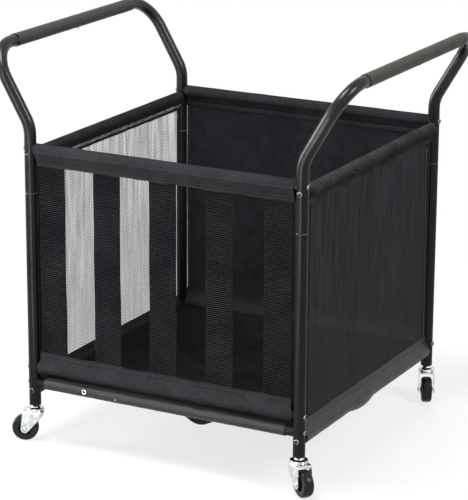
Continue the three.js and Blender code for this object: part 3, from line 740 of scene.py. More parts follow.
def handle_tube(name, x, y):
    end = y * GAP / 2
    foot = Vector((x * HALF_W, y * HALF_D, SEAM + GAP))
    knee = Vector((x * HALF_W, y * HALF_D, BEND))
    shoulder = Vector((x * BAR_X, y * HALF_D, BAR))
    tip = Vector((x * BAR_X, end, BAR))
    path = [foot + Vector((0, 0, rise)) for rise in (0, 0.15, 0.5, 1.4)]
    path += rounded_corner(foot, knee, shoulder, LOWER_BEND, 12)
    path += rounded_corner(knee, shoulder, tip, UPPER_BEND, 22)
    radii = [(POST_R - 0.45, POST_BORE + 0.1), (POST_R - 0.2, POST_BORE)]
    radii += [(POST_R, POST_BORE)] * (len(path) - 2)
    if y < 0:
        for along, outer in ((-SWAGE_LEAD, POST_R), (0, SPIGOT_R), (BAR_SPIGOT_LENGTH, SPIGOT_R)):
            path.append(Vector((x * BAR_X, end + along, BAR)))
            radii.append((outer, SPIGOT_R - TUBE_WALL))
    else:
        path.append(tip)
        radii.append((POST_R, POST_BORE))
    # The handle's first rim meets the seam: its lighter colour is partly wear and partly a painted highlight.
    piece(f"bent_handle_{name}", tube_along(path, radii, 0.45), "tube", f"handle_tube_{name}")


def grip(name, x, y):
    """A foam sleeve with an uneven skin; the front left one is torn back a little at its end."""
    bore, outer, start = POST_R + 0.2, POST_R + GRIP_FOAM, 0.15
    outline = fillet([(bore, start), (outer, start), (outer, GRIP_LENGTH), (bore, GRIP_LENGTH)], 0.55, 4)
    middle = [(outer, start + GRIP_LENGTH * k / 60) for k in range(2, 60)]
    at = max(i for i, (r, z) in enumerate(outline) if z < 2 and r > outer - 0.01) + 1
    form = lathe([*outline[:at], *middle, *outline[at:]], 60)
    torn = 13 if name == "front_left" else 1.2

    def uneven(a, b, c):
        scale = 1 + (0.010 * wobble(a, b, c, size=26, seed=x + 2 * y) if math.hypot(a, b) > bore + 0.3 else 0)
        back = torn * (0.45 + 0.8 * wobble(a, b, 0, size=7, seed=5)) * max(0.0, (c - GRIP_LENGTH + 24) / 24)
        return a * scale, b * scale, c - max(0.0, back)

    form.points = [uneven(*point) for point in form.points]
    turn = Matrix.Translation((x * BAR_X, 0, BAR)) @ Matrix.Rotation(-y * math.pi / 2, 4, "X")
    piece(f"foam_grip_{name}", form.moved(turn), "grip" if x < 0 else "grip_right", f"grip_{name}")


def coped_rail(node, axis, radius, centre):
    """A rail between two posts whose ends are cut to sit round them."""
    half = HALF_W if axis == "x" else HALF_D
    sides, seat, bore = 40, POST_R + GAP, radius - TUBE_WALL
    rows = []
    for r, sign in ((radius, -1), (radius, 1), (bore, 1), (bore, -1), (radius, -1)):
        rows.append([
            (sign * (half - math.sqrt(seat ** 2 - across ** 2)), across, up)
            for across, up, _ in circle(r, 0, sides)
        ])
    us = [0, 2 * half, 2 * half + 1, 4 * half, 4 * half + 1]
    form = Form().grid(rows, closed=True, us=us, vs=spread(0, TAU * radius, sides))
    piece(f"coped_{node}", form.moved(Matrix.Translation(centre) @ TURN[axis]), "tube", node)


def stem_socket(name, x, y):
    outer, bore, top, lead = POST_BORE - 0.2, 5.8, POST_FOOT + SOCKET_LENGTH, 0.6
    outline = [(bore + lead, POST_FOOT), (outer, POST_FOOT), (outer, top), (bore, top)]
    form = lathe(fillet([*outline, (bore, POST_FOOT + lead)], 0.25), 32).moved(at_corner(x, y))
    piece(f"foot_socket_{name}", form, "plastic", f"stem_socket_{name}")


def frame_tubes():
    for name, (x, y) in CORNERS.items():
        post(name, x, y)
        handle_tube(name, x, y)
        grip(name, x, y)
        stem_socket(name, x, y)
    for node, rail in RAILS.items():
        coped_rail(node, *rail)


# Fasteners

def screw_head(rubbed):
    """A pan head with a cross recess, seated on a tube; its axis is Z and it sits at z = 0."""
    rim, top, floor, arm, half_arm, sides = 4.8, 2.5, 0.9, 2.5, 0.62, 48
    profile = [(rim - 0.2, -0.8), (rim, 0.1), (rim - 0.05, 0.9), (rim - 0.5, 1.7), (rim - 1.5, 2.3),
               (arm + 0.3, top)]
    rows = [circle(r, z, sides) for r, z in profile]
    for scale, z in ((1.06, top), (1.0, top - 0.15), (0.72, floor + 0.3), (0.3, floor), (0.02, floor)):
        ring = []
        for turn in spread(0, TAU, sides)[:-1]:
            off = (turn + math.pi / 4) % (math.pi / 2) - math.pi / 4
            r = scale * min(arm / math.cos(off), half_arm / max(1e-6, abs(math.sin(off))))
            ring.append((r * math.cos(turn), r * math.sin(turn), z))
        rows.append(ring)
    # Wear here paints highlights: a bright ring round the rim and a bright dot deep in the recess, standing
    # for glints.
    wear = (0.5, 1.0, 1.0, 1.0, 0.5, 0.0, 0.0, 0.0, 0.0, 0.5, 1.0)
    return Form().grid(rows, closed=True, wear=lambda i, j: wear[i] * rubbed, flip=True, cap=True)


def nut_and_bolt_end():
    """A small hexagon nut with the screw's end standing out of it; its seat is at z = 0."""
    form, nut_top, bolt_top = Form(), 2.6, 4.8
    for r0, r1, z0, z1, sides in ((3.6, 3.4, 0, nut_top, 6), (1.9, 1.5, nut_top - 0.2, bolt_top, 16)):
        rows = [circle(r, z, sides) for r, z in ((r0, z0), (r0, z0 + 0.7 * (z1 - z0)), (r1, z1))]
        form.grid(rows, closed=True, cap=True, wear=lambda i, j: 0.3 * i)
    return form


def post_screws():
    """The screws into the rails' ends, with a painted highlight on each rim, brighter on some than on others.
    """
    rolls = Random(11)
    for name, (x, y) in CORNERS.items():
        outwards, ahead = Vector((x, 0, 0)), Vector((0, y, 0))
        seats = [(CROSS_TOP, outwards), (CROSS_BASE, outwards), (SIDE_TOP, ahead), (SIDE_BASE, ahead)]
        if y < 0:
            seats.append((STRAP_RAIL_Z, outwards))
        form = Form()
        for z, direction in seats:
            seat = at_corner(x, y) @ (direction * (POST_R - 0.15) + Vector((0, 0, z)))
            # How strong the painted rim highlight is: by the way the screw faces, and faint on the front left
            # post.
            rubbed = 0.5 if direction is outwards else 0.22 if name == "front_left" else 0.62
            form.take(screw_head(rubbed).moved(aimed(seat, direction, rolls.uniform(0, TAU))))
        piece(f"post_screws_{name}", form, "screw", sharp=30)


def bar_screws():
    """What holds each bar's two halves, seen from below: a nut on the left, a low round head on the right."""
    seats = [aimed((x * BAR_X, BAR_SCREW_FROM_SEAM, BAR - POST_R - 1.0), (0, 0, -1), 0.4) for x in (-1, 1)]
    piece("bar_nut_left", nut_and_bolt_end().moved(seats[0]), "nut", sharp=25)
    low = lathe(fillet([(0, -0.6), (4.2, -0.6), (4.2, 0.5), (2.6, 1.3), (0, 1.5)], [0, 0.2, 0.5, 0.8, 0]), 36)
    piece("bar_head_right", low.moved(seats[1]), "screw", sharp=30)


def spare_hole():
    """The rim of the one spare hole, above the side rail's screw on the right front post, and a dark disc in
    it that paints the shade inside the hole.
    """
    seat = aimed((HALF_W, -HALF_D - POST_R + 0.05, SPARE_HOLE_Z), (0, -1, 0))
    rim = fillet([(1.1, -1.0), (1.75, -1.0), (1.75, 0.12), (1.45, 0.12)], 0.08)
    # A dark disc nearly flush with the tube: painted shade for the inside of the hole.
    painted_shade_disc = [(0, -0.9), (1.4, -0.9), (1.4, 0.06), (0, 0.06)]
    for name, outline in (("spare_hole_rim", rim), ("spare_hole_painted_shade", painted_shade_disc)):
        piece(name, lathe(outline, 24).moved(seat), "plastic")


def press_stud():
    """The ring of a press stud on the floor sleeve, and a small rivet beside it."""
    rings = (("press_stud", -160, 8, 4.9, 2.1), ("sleeve_rivet", -94, -12, 1.5, 0.4))
    for name, x, lean, outer, hole in rings:
        facing = Vector((0, -math.cos(math.radians(lean)), math.sin(math.radians(lean))))
        outline = [(hole, -0.8), (outer, -0.8), (outer, 0.5), (outer * 0.78, 1.1), (hole + 0.3, 0.9)]
        seat = aimed(Vector((x, -HALF_D, CROSS_BASE)) + facing * (RAIL_R + GAP + CLOTH), facing)
        piece(name, lathe(fillet(outline, 0.3), 32).moved(seat), "nut")
        if name == "press_stud":
            button = lathe(fillet([(0, -0.8), (1.8, -0.8), (1.8, 0.15), (1.0, 0.35), (0, 0.4)], 0.1), 24)
            piece("press_stud_middle", button.moved(seat), "screw")


# Casters

def caster_stem():
    """Kingpin, upper race, shoulder and the grooved stem in one turned part."""
    top, groove, stem, pin = POST_FOOT + 36, POST_FOOT + 30, 5.5, 4
    outline = [
        (0, CROWN_BOTTOM - 2.1), (5.0, CROWN_BOTTOM - 2.1), (7, CROWN_BOTTOM - 1.1), (7, CROWN_BOTTOM - GAP),
        (pin, CROWN_BOTTOM - GAP), (pin, DISC_BOTTOM), (RACE_R, DISC_BOTTOM), (RACE_R, DISC_TOP),
        (11.5, DISC_TOP + 0.5), (9, DISC_TOP + 0.9), (6.6, SHOULDER_TOP - 1.0), (6.5, SHOULDER_TOP),
        (stem, SHOULDER_TOP), (stem, groove), (4.6, groove), (4.6, groove + 3), (stem, groove + 3),
        (stem, top - 1.2), (4.3, top), (0, top),
    ]
    radii = [0, 0.5, 0.5, 0.2, 0.2, 0.2, 0.8, 0.9, 0.8, 1.2, 0.8, *[0.2] * 6, 0.3, 0.3, 0]
    return lathe(fillet(outline, radii, 4), 48)


def fork_ring(inset, z):
    """Plan outline of the fork at an inset from its outside, from one tail end round the nose to the other."""
    half, turn = FORK_HALF - inset, 9 - inset
    front, tail = turn - (FORK_NOSE - inset), FORK_TAIL + 8
    points = [(tail * k / 8 + front * (1 - k / 8), half, z) for k in range(8, -1, -1)]
    for sign, start in ((1, math.pi / 2), (-1, math.pi)):
        for angle in spread(start, start + math.pi / 2, 10)[1:]:
            points.append((front + turn * math.cos(angle), sign * (half - turn) + turn * math.sin(angle), z))
    return points + [(front * (1 - k / 8) + tail * k / 8, -half, z) for k in range(1, 9)]


def fork_shell():
    """The bent sheet before its legs are cut: a crown that turns down into three walls."""
    bend, low = 3.4, 12.0
    inside = bend - FORK_SHEET
    outer, inner = [], []
    for turn in spread(0, math.pi / 2, 6):
        along, down = 1 - math.sin(turn), 1 - math.cos(turn)
        outer.append(fork_ring(bend * along, CROWN_TOP - bend * down))
        inner.append(fork_ring(FORK_SHEET + inside * along, CROWN_BOTTOM - inside * down))
    rows = [*outer, fork_ring(0, low), fork_ring(FORK_SHEET, low), *inner[::-1]]
    form, count, wide = Form().grid(rows), len(rows[0]), len(rows)

    def at(row, column):
        return row * count + column

    for row in (0, wide - 1):
        for j in range(count // 2):
            face = [at(row, j), at(row, j + 1), at(row, count - 2 - j), at(row, count - 1 - j)]
            if face[1] == face[2]:
                face.pop(2)
            form.face(face, flip=row == 0)
    for column in (0, count - 1):
        for k in range(wide // 2 - 1):
            face = [at(k, column), at(k + 1, column), at(wide - 2 - k, column), at(wide - 1 - k, column)]
            form.face(face, flip=column == 0)
    form.face([at(0, 0), at(wide - 1, 0), at(wide - 1, count - 1), at(0, count - 1)])
    return form


def fork_side_cutter():
    """Side outline of the fork, drawn out across it: legs that narrow to a round foot."""
    heel = math.atan2(FORK_TAIL - TRAIL, CROWN_TOP - WHEEL_R) / 2
    run, rise = TRAIL + FORK_NOSE, CROWN_TOP - FORK_SKIRT - WHEEL_R
    start = math.atan2(rise, -run) + math.pi / 2 + math.asin(FORK_FOOT / math.hypot(run, rise))
    foot = [
        (TRAIL + FORK_FOOT * math.cos(a), WHEEL_R + FORK_FOOT * math.sin(a))
        for a in spread(start, TAU + 2 * heel, 20)
    ]
    above, past = CROWN_TOP + 6, -FORK_NOSE - 4
    outline = [(past, above), (past, CROWN_TOP - FORK_SKIRT - 2), (-FORK_NOSE, CROWN_TOP - FORK_SKIRT), *foot,
               (FORK_TAIL, CROWN_TOP - 3), (FORK_TAIL - 1.2, above)]
    return loft([[(a, y, b) for a, b in outline] for y in (-FORK_HALF - 5, FORK_HALF + 5)])


def carved(base, steps):
    """The mesh of base after boolean steps of (operation, form), with small bevels on its edges."""
    target, *tools = [
        placed("carved", finished(form.mesh("carved"), 180)) for form in (base, *[form for _, form in steps])
    ]
    for (operation, _), tool in zip(steps, tools):
        cut = target.modifiers.new("cut", "BOOLEAN")
        cut.operation, cut.object, cut.solver = operation, tool, "EXACT"
    edge = target.modifiers.new("edge", "BEVEL")
    edge.width, edge.segments, edge.limit_method, edge.angle_limit = 0.35 * MM, 2, "ANGLE", math.radians(40)
    mesh = bpy.data.meshes.new_from_object(target.evaluated_get(bpy.context.evaluated_depsgraph_get()))
    for obj in (target, *tools):
        bpy.data.objects.remove(obj)
    return mesh


def caster_fork():
    """The pressed fork with its race cup, bored for the kingpin and the axle."""
    bore, axle_bore = 4.3, 3.2
    cup = lathe(fillet([
        (bore, CROWN_BOTTOM + 0.8), (RACE_R - 2.4, CROWN_BOTTOM + 0.8), (RACE_R - 0.6, CROWN_TOP - 0.3),
        (RACE_R, CUP_TOP - 1.1), (RACE_R - 0.9, CUP_TOP), (bore, CUP_TOP),
    ], [0, 0, 0.3, 0.6, 0.5, 0], 3), 48)
    pin = lathe([(0, CROWN_BOTTOM - 9), (bore, CROWN_BOTTOM - 9), (bore, CUP_TOP + 6), (0, CUP_TOP + 6)], 32)
    axle = lathe([(0, -30), (axle_bore, -30), (axle_bore, 30), (0, 30)], 24).moved(ON_AXLE)
    return carved(fork_shell(), [
        ("INTERSECT", fork_side_cutter()), ("UNION", cup), ("DIFFERENCE", pin), ("DIFFERENCE", axle),
    ])


def caster_axle():
    face = FORK_HALF + GAP
    end = face + 2.2
    half = [(3, face), (4.3, face), (4.1, end - 0.9), (2.4, end), (0, end)]
    outline = [*[(r, -z) for r, z in half[::-1]], *half]
    radii = [0, 0.8, 0.5, 0.2, 0.2, 0.2, 0.2, 0.5, 0.8, 0]
    form = lathe(fillet(outline, radii, 3), 32, lambda r, z: 0.35 if abs(z) > end - 1.2 and r > 2 else 0)
    return form.moved(ON_AXLE)


def caster_wheel():
    right = [(3.2, 11.5), (6.5, 11.5), (6.5, 3), (12.5, 3), (12.5, 9.2), (13.2, 10), (21.4, 10), (24.3, 7.2),
             (WHEEL_R, 0)]
    left = [(r, -y) for r, y in right[-2::-1]]
    rounds = [0.3, 0.6, 0.6, 0.8, 0.4, 0.4, 1.6, 2.2, 6.0]
    outline = fillet([*right, *left], [*rounds, *rounds[-2::-1]], 5)

    def wear(r, y):
        crown = peak(y, 0, 7) if r > 23.5 else 0.0
        # A lighter ring painted on each side face, standing for its lit part: painted light.
        ring = 0.55 if 13 < r < 21.5 and abs(y) > 9 else 0.0
        return max(0.35 * crown, ring)

    return lathe(outline[::-1], 72, wear).moved(ON_AXLE)


def casters():
    fork_mesh = caster_fork()
    for name, (x, y) in CORNERS.items():
        where = at_corner(x, y) @ Matrix.Rotation(math.radians(CASTER_YAW[name]), 4, "Z")
        piece(f"race_and_stem_{name}", caster_stem().moved(where), "zinc", f"caster_stem_{name}")
        fork, place = fork_mesh.copy(), where.copy()
        place.translation = place.translation * MM
        fork.transform(place)
        fork.materials.clear()
        piece(f"pressed_fork_{name}", fork, "zinc", f"caster_fork_{name}", body=f"fork_{name}", sharp=32)
        axle, wheel = caster_axle().moved(where), caster_wheel().moved(where)
        piece(f"axle_pin_{name}", axle, "zinc", f"caster_axle_{name}", body=f"fork_{name}")
        piece(f"rubber_wheel_{name}", wheel, "rubber", f"caster_wheel_{name}", body=f"wheel_{name}")
    bpy.data.meshes.remove(fork_mesh)


# Cloth

def densified(line, step=3):
    """The line with points no more than step apart."""
    done = [Vector(line[0])]
    for a, b in zip(line, line[1:]):
        a, b = Vector(a), Vector(b)
        count = max(1, math.ceil((b - a).length / step))
        done += [a.lerp(b, k / count) for k in range(1, count + 1)]
    return done


def sleeve_line(radius, half, taper, reach, up):
    """Middle line of the cloth round a rail, from the edge of one flap to the edge of the other."""
    dip = math.atan2(taper, half) - math.acos(radius / math.hypot(half, taper))
    turns = [(math.pi + 2 * dip) * share - dip for share in spread(0, 1, 26)]
    arc = [(radius * math.cos(a), -up * radius * math.sin(a)) for a in turns]
    first, last = [(half, up * reach), (half, up * taper)], [(-half, up * taper), (-half, up * reach)]
    return [*densified(first), *densified([first[1], arc[0]])[1:], *[Vector(p) for p in arc[1:-1]],
            *densified([arc[-1], last[0]]), *densified(last)[1:]]


def stitch(a, b, facing, width):
    """One stitch of thread between two points of the cloth, domed, with its ends drawn into the cloth."""
    along, rise = b - a, facing.normalized() * (width / 2)
    across = along.cross(facing).normalized() * (width / 2)
    rings = ((0, 0.45, -0.7), (0.2, 0.95, 0.15), (0.5, 1.0, 0.4), (0.8, 0.95, 0.15), (1, 0.45, -0.7))
    return loft([
        ring_at(a + along * share + rise * lift, across, rise, size, 6) for share, size, lift in rings
    ])


def seam(name, place, facing, start, end, pitch=STITCH_PITCH, finish="thread", width=THREAD):
    """A row of stitches from start to end, where place(distance) is a point on the cloth."""
    form = Form()
    for k in range(int((end - start) / pitch)):
        at = start + k * pitch
        form.take(stitch(Vector(place(at)), Vector(place(at + STITCH_SHARE * pitch)), facing, width))
    return piece(name, form, finish, sharp=60)


def thread_end(name, at):
    """A small tuft where a seam's thread is tied off on a face that looks along +X."""
    form = Form()
    for across, up in ((1.5, 0.7), (-0.9, 1.4), (0.3, -1.6)):
        tip = at + Vector((0.8, across, up))
        form.take(stitch(at - Vector((0.3, 0, 0)), tip, Vector((1, 0, 0.2)), BOLD_THREAD))
    return piece(name, form, "light_thread", sharp=60)


class Hem:
    """One strip of cloth folded round a rail, its two flaps sewn to each other.

    shape(along, run, total, height) gives how far the cloth stands out and how far it is lifted there, and
    end_cut(height, end) how far its cut end is set back. A side is 1 or -1, across the rail.
    """

    def __init__(self, name, node, rail, core, reach, up, shape, finish="oxford", step=4.0, end_cut=None,
                 length=None, taper=HEM_TAPER, tilt=0.0):
        axis, radius, centre = RAILS[rail]
        self.rail, self.up, self.shape, self.end_cut = rail, up, shape, end_cut
        self.length = length or (CROSS_HEM if axis == "x" else SIDE_HEM)
        self.matrix = Matrix.Translation(centre) @ TURN[axis] @ Matrix.Rotation(tilt, 4, "X")
        line = sleeve_line(radius + GAP + CLOTH / 2, core / 2 + 0.2 + CLOTH / 2, taper, reach, up)
        self.runs = lengths_along(line)
        self.spots = []
        for i, p in enumerate(line):
            along = line[min(i + 1, len(line) - 1)] - line[max(i - 1, 0)]
            outward = Vector((-along.y, along.x)).normalized()
            if abs(p.y) > taper - 1e-6:
                outward = Vector((math.copysign(1, p.x), 0))
            elif outward.dot(p) < 0:
                outward = -outward
            self.spots.append((p, outward, self.runs[i]))
        self.piece = piece(name, self.cloth(step), finish, node, sharp=50)

    def point(self, along, spot, stand):
        """A point of the hem in its own axes, standing so far out from the middle of its cloth."""
        p, outward, run = spot
        height = max(0.0, p.y * self.up)
        if self.end_cut:
            along *= 1 - 2 * self.end_cut(height, -1 if along < 0 else 1) / self.length
        out, lift = self.shape(along, run, self.runs[-1], height)
        q = p + Vector((0, lift * self.up)) + outward * (out + stand)
        return along, q.x, q.y

    def cloth(self, step):
        rows = []
        for along in spread(-self.length / 2, self.length / 2, max(2, round(self.length / step))):
            outer, inner = [
                [self.point(along, spot, stand) for spot in self.spots] for stand in (CLOTH / 2, -CLOTH / 2)
            ]
            tips = []
            for k in (0, -1):
                tip = Vector(outer[k]).lerp(Vector(inner[k]), 0.5)
                tips.append((outer[k][0], tip.y, tip.z + self.up * CLOTH * 0.35))
            rows.append([*outer, tips[1], *inner[::-1], tips[0]])
        total = self.runs[-1]
        vs = [*self.runs, total, *[total + r for r in self.runs], 2 * total, 2 * total]
        return loft(rows, [row[0][0] for row in rows], vs).moved(self.matrix)

    def spot(self, height, side):
        """Point, direction outwards and run of the cloth where one side of it has a height."""
        spots = self.spots[::side]
        for (p, outward, run), (below, next_outward, next_run) in zip(spots, spots[1:]):
            high, low = p.y * self.up, below.y * self.up
            if low <= height:
                share = max(0.0, (high - height) / (high - low))
                return p.lerp(below, share), outward.lerp(next_outward, share), run + (next_run - run) * share

    def on_cloth(self, along, spot, stand):
        return self.matrix @ Vector(self.point(along, spot, CLOTH / 2 + stand))

    def stitches(self, name, height, side, span=None, lift=0.1, **thread):
        """A row of stitches along one side of the hem, at a height from the middle of its rail."""
        spot = self.spot(height, side)
        facing = self.matrix.to_3x3() @ Vector((0, *spot[1]))
        first, last = span or (5 - self.length / 2, self.length / 2 - 5)
        return seam(name, lambda along: self.on_cloth(along, spot, lift), facing, first, last, **thread)

    def tape(self, name, low, high, side):
        """A strip of binding over the hem's raw edge, drawn into two puckered ridges by its stitches."""
        ridges = ((0, 0), (0.05, 0.5), (0.22, 1), (0.4, 0.7), (0.5, 0.05), (0.62, 0.7), (0.8, 1), (0.95, 0.5),
                  (1, 0))
        spots = [self.spot(low + (high - low) * s, side) for s, _ in ridges]
        half, rows, rubbed = self.length / 2 - 3, [], []
        count = round(2 * half / 1.3)
        for along in spread(-half, half, count):
            over, under = [], []
            for (s, raised), spot in zip(ridges, spots):
                drawn = max(0.0, wobble(along + 4 * s, s * 6, 2, size=3.6, seed=61) + 0.35) * 1.1 * raised
                over.append(self.on_cloth(along, spot, 0.3 + 0.5 * raised + drawn))
                under.append(self.on_cloth(along, spot, 0.08))
                # The wear value set here marks painted sheen: on the raised ridges, stronger along wandering
                # creases.
                crease = max(0.0, wobble(along + 9 * s, s * 9, 5, size=10, seed=63) * 1.8 + 0.25)
                rubbed.append(min(1.0, raised * (0.1 + 0.5 * drawn) + crease * raised))
            rows.append([*over, *under[::-1]])
        us, wide = spread(0, self.length, count), len(ridges)
        vs = [(high - low) * s for s, _ in (*ridges, *ridges[::-1], ridges[0])]
        form = loft(rows, us, vs, lambda i, j: rubbed[i * wide + j] if j < wide else 0.0)
        return piece(name, form, "binding", sharp=70)


def hem_shape(seed, pucker=0.5, swell=0.5, edge=0.5, sag=0.0, flare=0.0, crease=0.9):
    """Soft swells on the round part, short puckers along the sewn flaps, and one place that may hang loose."""
    def shape(along, run, total, height):
        soft = max(0.0, wobble(along, run * 1.4, 0, size=42, seed=seed)) * swell
        soft += creases(along * 0.15, run, 10, seed + 11) * 0.8 * swell * peak(height, HEM_TAPER * 0.4, 11)
        fold_at = 3.5 + 1.2 * wobble(along, 0, 7, size=60, seed=seed)
        soft += peak(height, fold_at, 2.2) * crease * swell
        short = max(0.0, wobble(along, run * 0.35, 9, size=5.0, seed=seed + 3) + 0.1) * pucker
        short *= peak(height, HEM_TAPER, 7)
        flap = max(0.0, wobble(along, run, 4, size=13, seed=seed + 5)) * 0.35 if height > HEM_TAPER else 0.0
        lift = wobble(along, 3, 0, size=22, seed=seed + 8) * edge * max(0.0, (height - HEM_TAPER + 4) / 8)
        under = max(0.0, 1 - (abs(run / total - 0.5) / 0.24) ** 2)
        loose = max(0.0, 1 - ((along - SLACK_AT) / SLACK_REACH) ** 2) ** 1.5 * under * sag
        flared = flare * (0.7 + 0.5 * wobble(along, 2, 5, size=34, seed=seed + 9))
        flared *= max(0.0, 1 - ((height - 13) / 7.5) ** 2)
        stands = flare * max(0.0, height - HEM_TAPER - 1) * 0.16
        return soft + short + flap + loose + flared + stands, lift
    return shape


def band_shape(along, run, total, height):
    """The strap band hangs slack between the straps: slanting folds that run down from its sewn edge."""
    between = 0.5 - 0.5 * math.cos(TAU * along / STRAP_PITCH)
    slant = along + 1.1 * abs(run - total / 2)
    out = wobble(along, run * 0.4, 6, size=75, seed=5.0)
    out += 3.4 * wobble(slant, run * 0.3, 2, size=25, seed=4.0) * (0.4 + 0.6 * between)
    out = max(0.0, out + 0.5)
    out += 2.2 * creases(slant * 0.8, run * 0.45, 21, 8.0) * (0.3 + 0.7 * between)
    out += max(0.0, wobble(along, run * 0.3, 1, size=6, seed=6.0)) * 0.8 * peak(height, BAND_RISE - 7, 8)
    out *= 1 - 0.65 * limited((height - 16) / 12)
    lift = 1.6 * wobble(along, 5, 0, size=48, seed=7.0) - 2.4 * between ** 1.5
    return out, lift * min(1.0, height / BAND_RISE) ** 2


def band_cut(height, end):
    return 3.6 * limited((height - 9) / 5)


def sleeve_shape(along, run, total, height):
    soft = max(0.0, wobble(along, run, 0, size=26, seed=14.0)) * 0.35
    return soft + creases(along * 0.3, run, 8, 15.0) * 0.25, 0.0


def front_cut(height, end):
    """The front hem's ends are cut on a slant, further from the post at the bottom."""
    return (3.4 if end < 0 else 2.6) * limited((height - 3) / 22)


def side_hems(side, x, inner, seed):
    """The top and the base hem of one side, the top one with its binding on the inside."""
    # The left top hem, seen from inside, takes the darker copy of the cloth, painted shade; the right one
    # takes the corded webbing.
    hem = Hem(f"top_hem_{side}", f"hem_top_{side}", f"rail_top_{side}", NET, SIDE_HEM_DROP, -1,
              hem_shape(seed, 0.7, 0.4), "side_web" if x > 0 else "oxford_painted_shade", step=3.0)
    trims = [hem.tape(f"hem_binding_{side}", 12.5, 20.5, inner)]
    for k, height in enumerate((14.1, 18.9)):
        name = f"hem_binding_stitches_{side}_{k}"
        trims.append(hem.stitches(name, height, inner, lift=1.0, finish="light_thread"))
    for level, height in (("low", 23.5), ("high", 15.5)):
        trims.append(hem.stitches(f"side_hem_stitches_{side}_{level}", height, -inner, finish="dark_thread"))
    if x > 0:
        trims.append(thread_end("thread_end_hem", Vector((x, 0, 0)) + Vector(HEM_THREAD_END)))
    hem = Hem(f"base_hem_{side}", f"hem_base_{side}", f"rail_base_{side}", NET, BASE_HEM_RISE, 1,
              hem_shape(seed + 6, 0.6, 0.7, sag=6.5 if x > 0 else 0.0), "sleeve", step=3.0)
    trims = []
    for k, (height, outer) in enumerate(((22, 1), (29, 1), (22, -1), (29, -1))):
        thread = "light_thread" if outer > 0 else "dark_thread"
        trims.append(hem.stitches(f"base_hem_stitches_{side}_{k}", height, outer * inner, finish=thread))


def hems():
    hem = Hem("top_hem_front", "hem_top_front", "rail_top_front", STRAP_THICKNESS, CROSS_HEM_DROP, -1,
              hem_shape(1, 1.6, 1.2, edge=0.9, flare=1.8, crease=2.0), step=2.5, end_cut=front_cut)
    [hem.stitches(f"front_hem_stitches_{k}", height, -1) for k, height in enumerate((21.5, 26.5))]
    hem = Hem("top_hem_back", "hem_top_back", "rail_top_back", BACK_CLOTH, CROSS_HEM_DROP, -1, hem_shape(2),
              "oxford_painted_shade")
    hem.stitches("back_hem_stitches", 22, -1)
    hem.stitches("back_hem_stitches_outside", 22, 1)
    side_hems("left", -HALF_W, -1, 3)
    side_hems("right", HALF_W, 1, 4)
    hem = Hem("base_hem_back", "hem_base_back", "rail_base_back", BACK_CLOTH, BASE_HEM_RISE, 1, hem_shape(12),
              "oxford_painted_shade")
    hem.stitches("back_base_stitches", 24, 1)
    hem.stitches("back_base_stitches_inside", 24, -1)
    hem = Hem("gathered_strap_band", "strap_band", "rail_strap", STRAP_THICKNESS, BAND_RISE, 1, band_shape,
              step=2.5, end_cut=band_cut)
    hem.stitches("band_stitches", 26, -1)
    hem = Hem("front_floor_sleeve", "floor_sleeve", "rail_base_front", NET, SLEEVE_FLANGE, 1, sleeve_shape,
              "sleeve", length=SLEEVE_LENGTH, taper=SLEEVE_TAPER, tilt=-math.pi / 2)
    hem.stitches("sleeve_stitches", 1.5, -1, span=(-242, -196), pitch=4.0)


def strap(index):
    """Ribbed elastic: cross ribs all the way up, corded selvages, a slight lean out of true."""
    x0 = (index - 2) * STRAP_PITCH
    bottom = STRAP_RAIL_Z + BAND_RISE - SEAM_ALLOWANCE
    top = CROSS_TOP - CROSS_HEM_DROP + SEAM_ALLOWANCE
    shares = [-1, -0.985, -0.93, -0.6, -0.2, 0.2, 0.6, 0.93, 0.985, 1]

    def place(a, z):
        share = (z - bottom) / (top - bottom)
        held = math.sin(math.pi * share) ** 0.5 if 0 < share < 1 else 0.0
        lean = 0.9 * wobble(0, z, index * 40, size=140, seed=21) * held
        bow = 0.7 * wobble(a * 20, z, index * 60, size=90, seed=23) * held
        half = STRAP_WIDTH / 2 + 0.5 * wobble(a * 30, z, index * 80, size=60, seed=25) * held
        return x0 + lean + a * half, -HALF_D + bow

    rows, us = [], spread(bottom, top, round((top - bottom) / RIB_PITCH * 4))
    around = [(-1, a) for a in shares] + [(1, a) for a in shares[::-1]]
    for z in us:
        rib = 0.5 + 0.5 * math.cos(TAU * (z - bottom) / RIB_PITCH)
        ring = []
        for side, a in around:
            thick = STRAP_THICKNESS / 2 * (0.35 if abs(a) == 1 else 0.8 if abs(a) > 0.95 else 0.6 + 0.4 * rib)
            x, y = place(a, z)
            ring.append((x, y + side * thick, z))
        rows.append(ring)
    vs = [a * STRAP_WIDTH / 2 for _, a in (*around, around[0])]
    obj = piece(f"elastic_strap_{index + 1}", loft(rows, us, vs), "elastic", f"strap_{index + 1}", sharp=60)
    cords = Form()
    for a in (-1, 1):
        cords.take(cord_along([Vector((*place(a, z), z)) for z in us[2:-2:2]], 0.45))
    edge = piece(f"strap_selvedge_{index + 1}", cords, "selvedge", sharp=60)


def net_bulge(seed, y, z):
    """How far a side net stands off its plane: gathered ripples under the top hem that die out downwards."""
    share = (z - NET_LOW) / (NET_HIGH - NET_LOW)
    held = limited(min((z - NET_LOW) / 22, (NET_HIGH - z) / 12)) * limited((NET_HALF - abs(y)) / 45, low=0.1)
    gather = wobble(y, z * 0.12, 0, size=8, seed=seed) * 1.5 * share ** 2
    slack = wobble(y, z * 0.4, 3, size=70, seed=seed + 2) * 2.2
    return (gather + slack + wobble(y, z * 0.15, 5, size=24, seed=seed + 4) * 1.2) * held


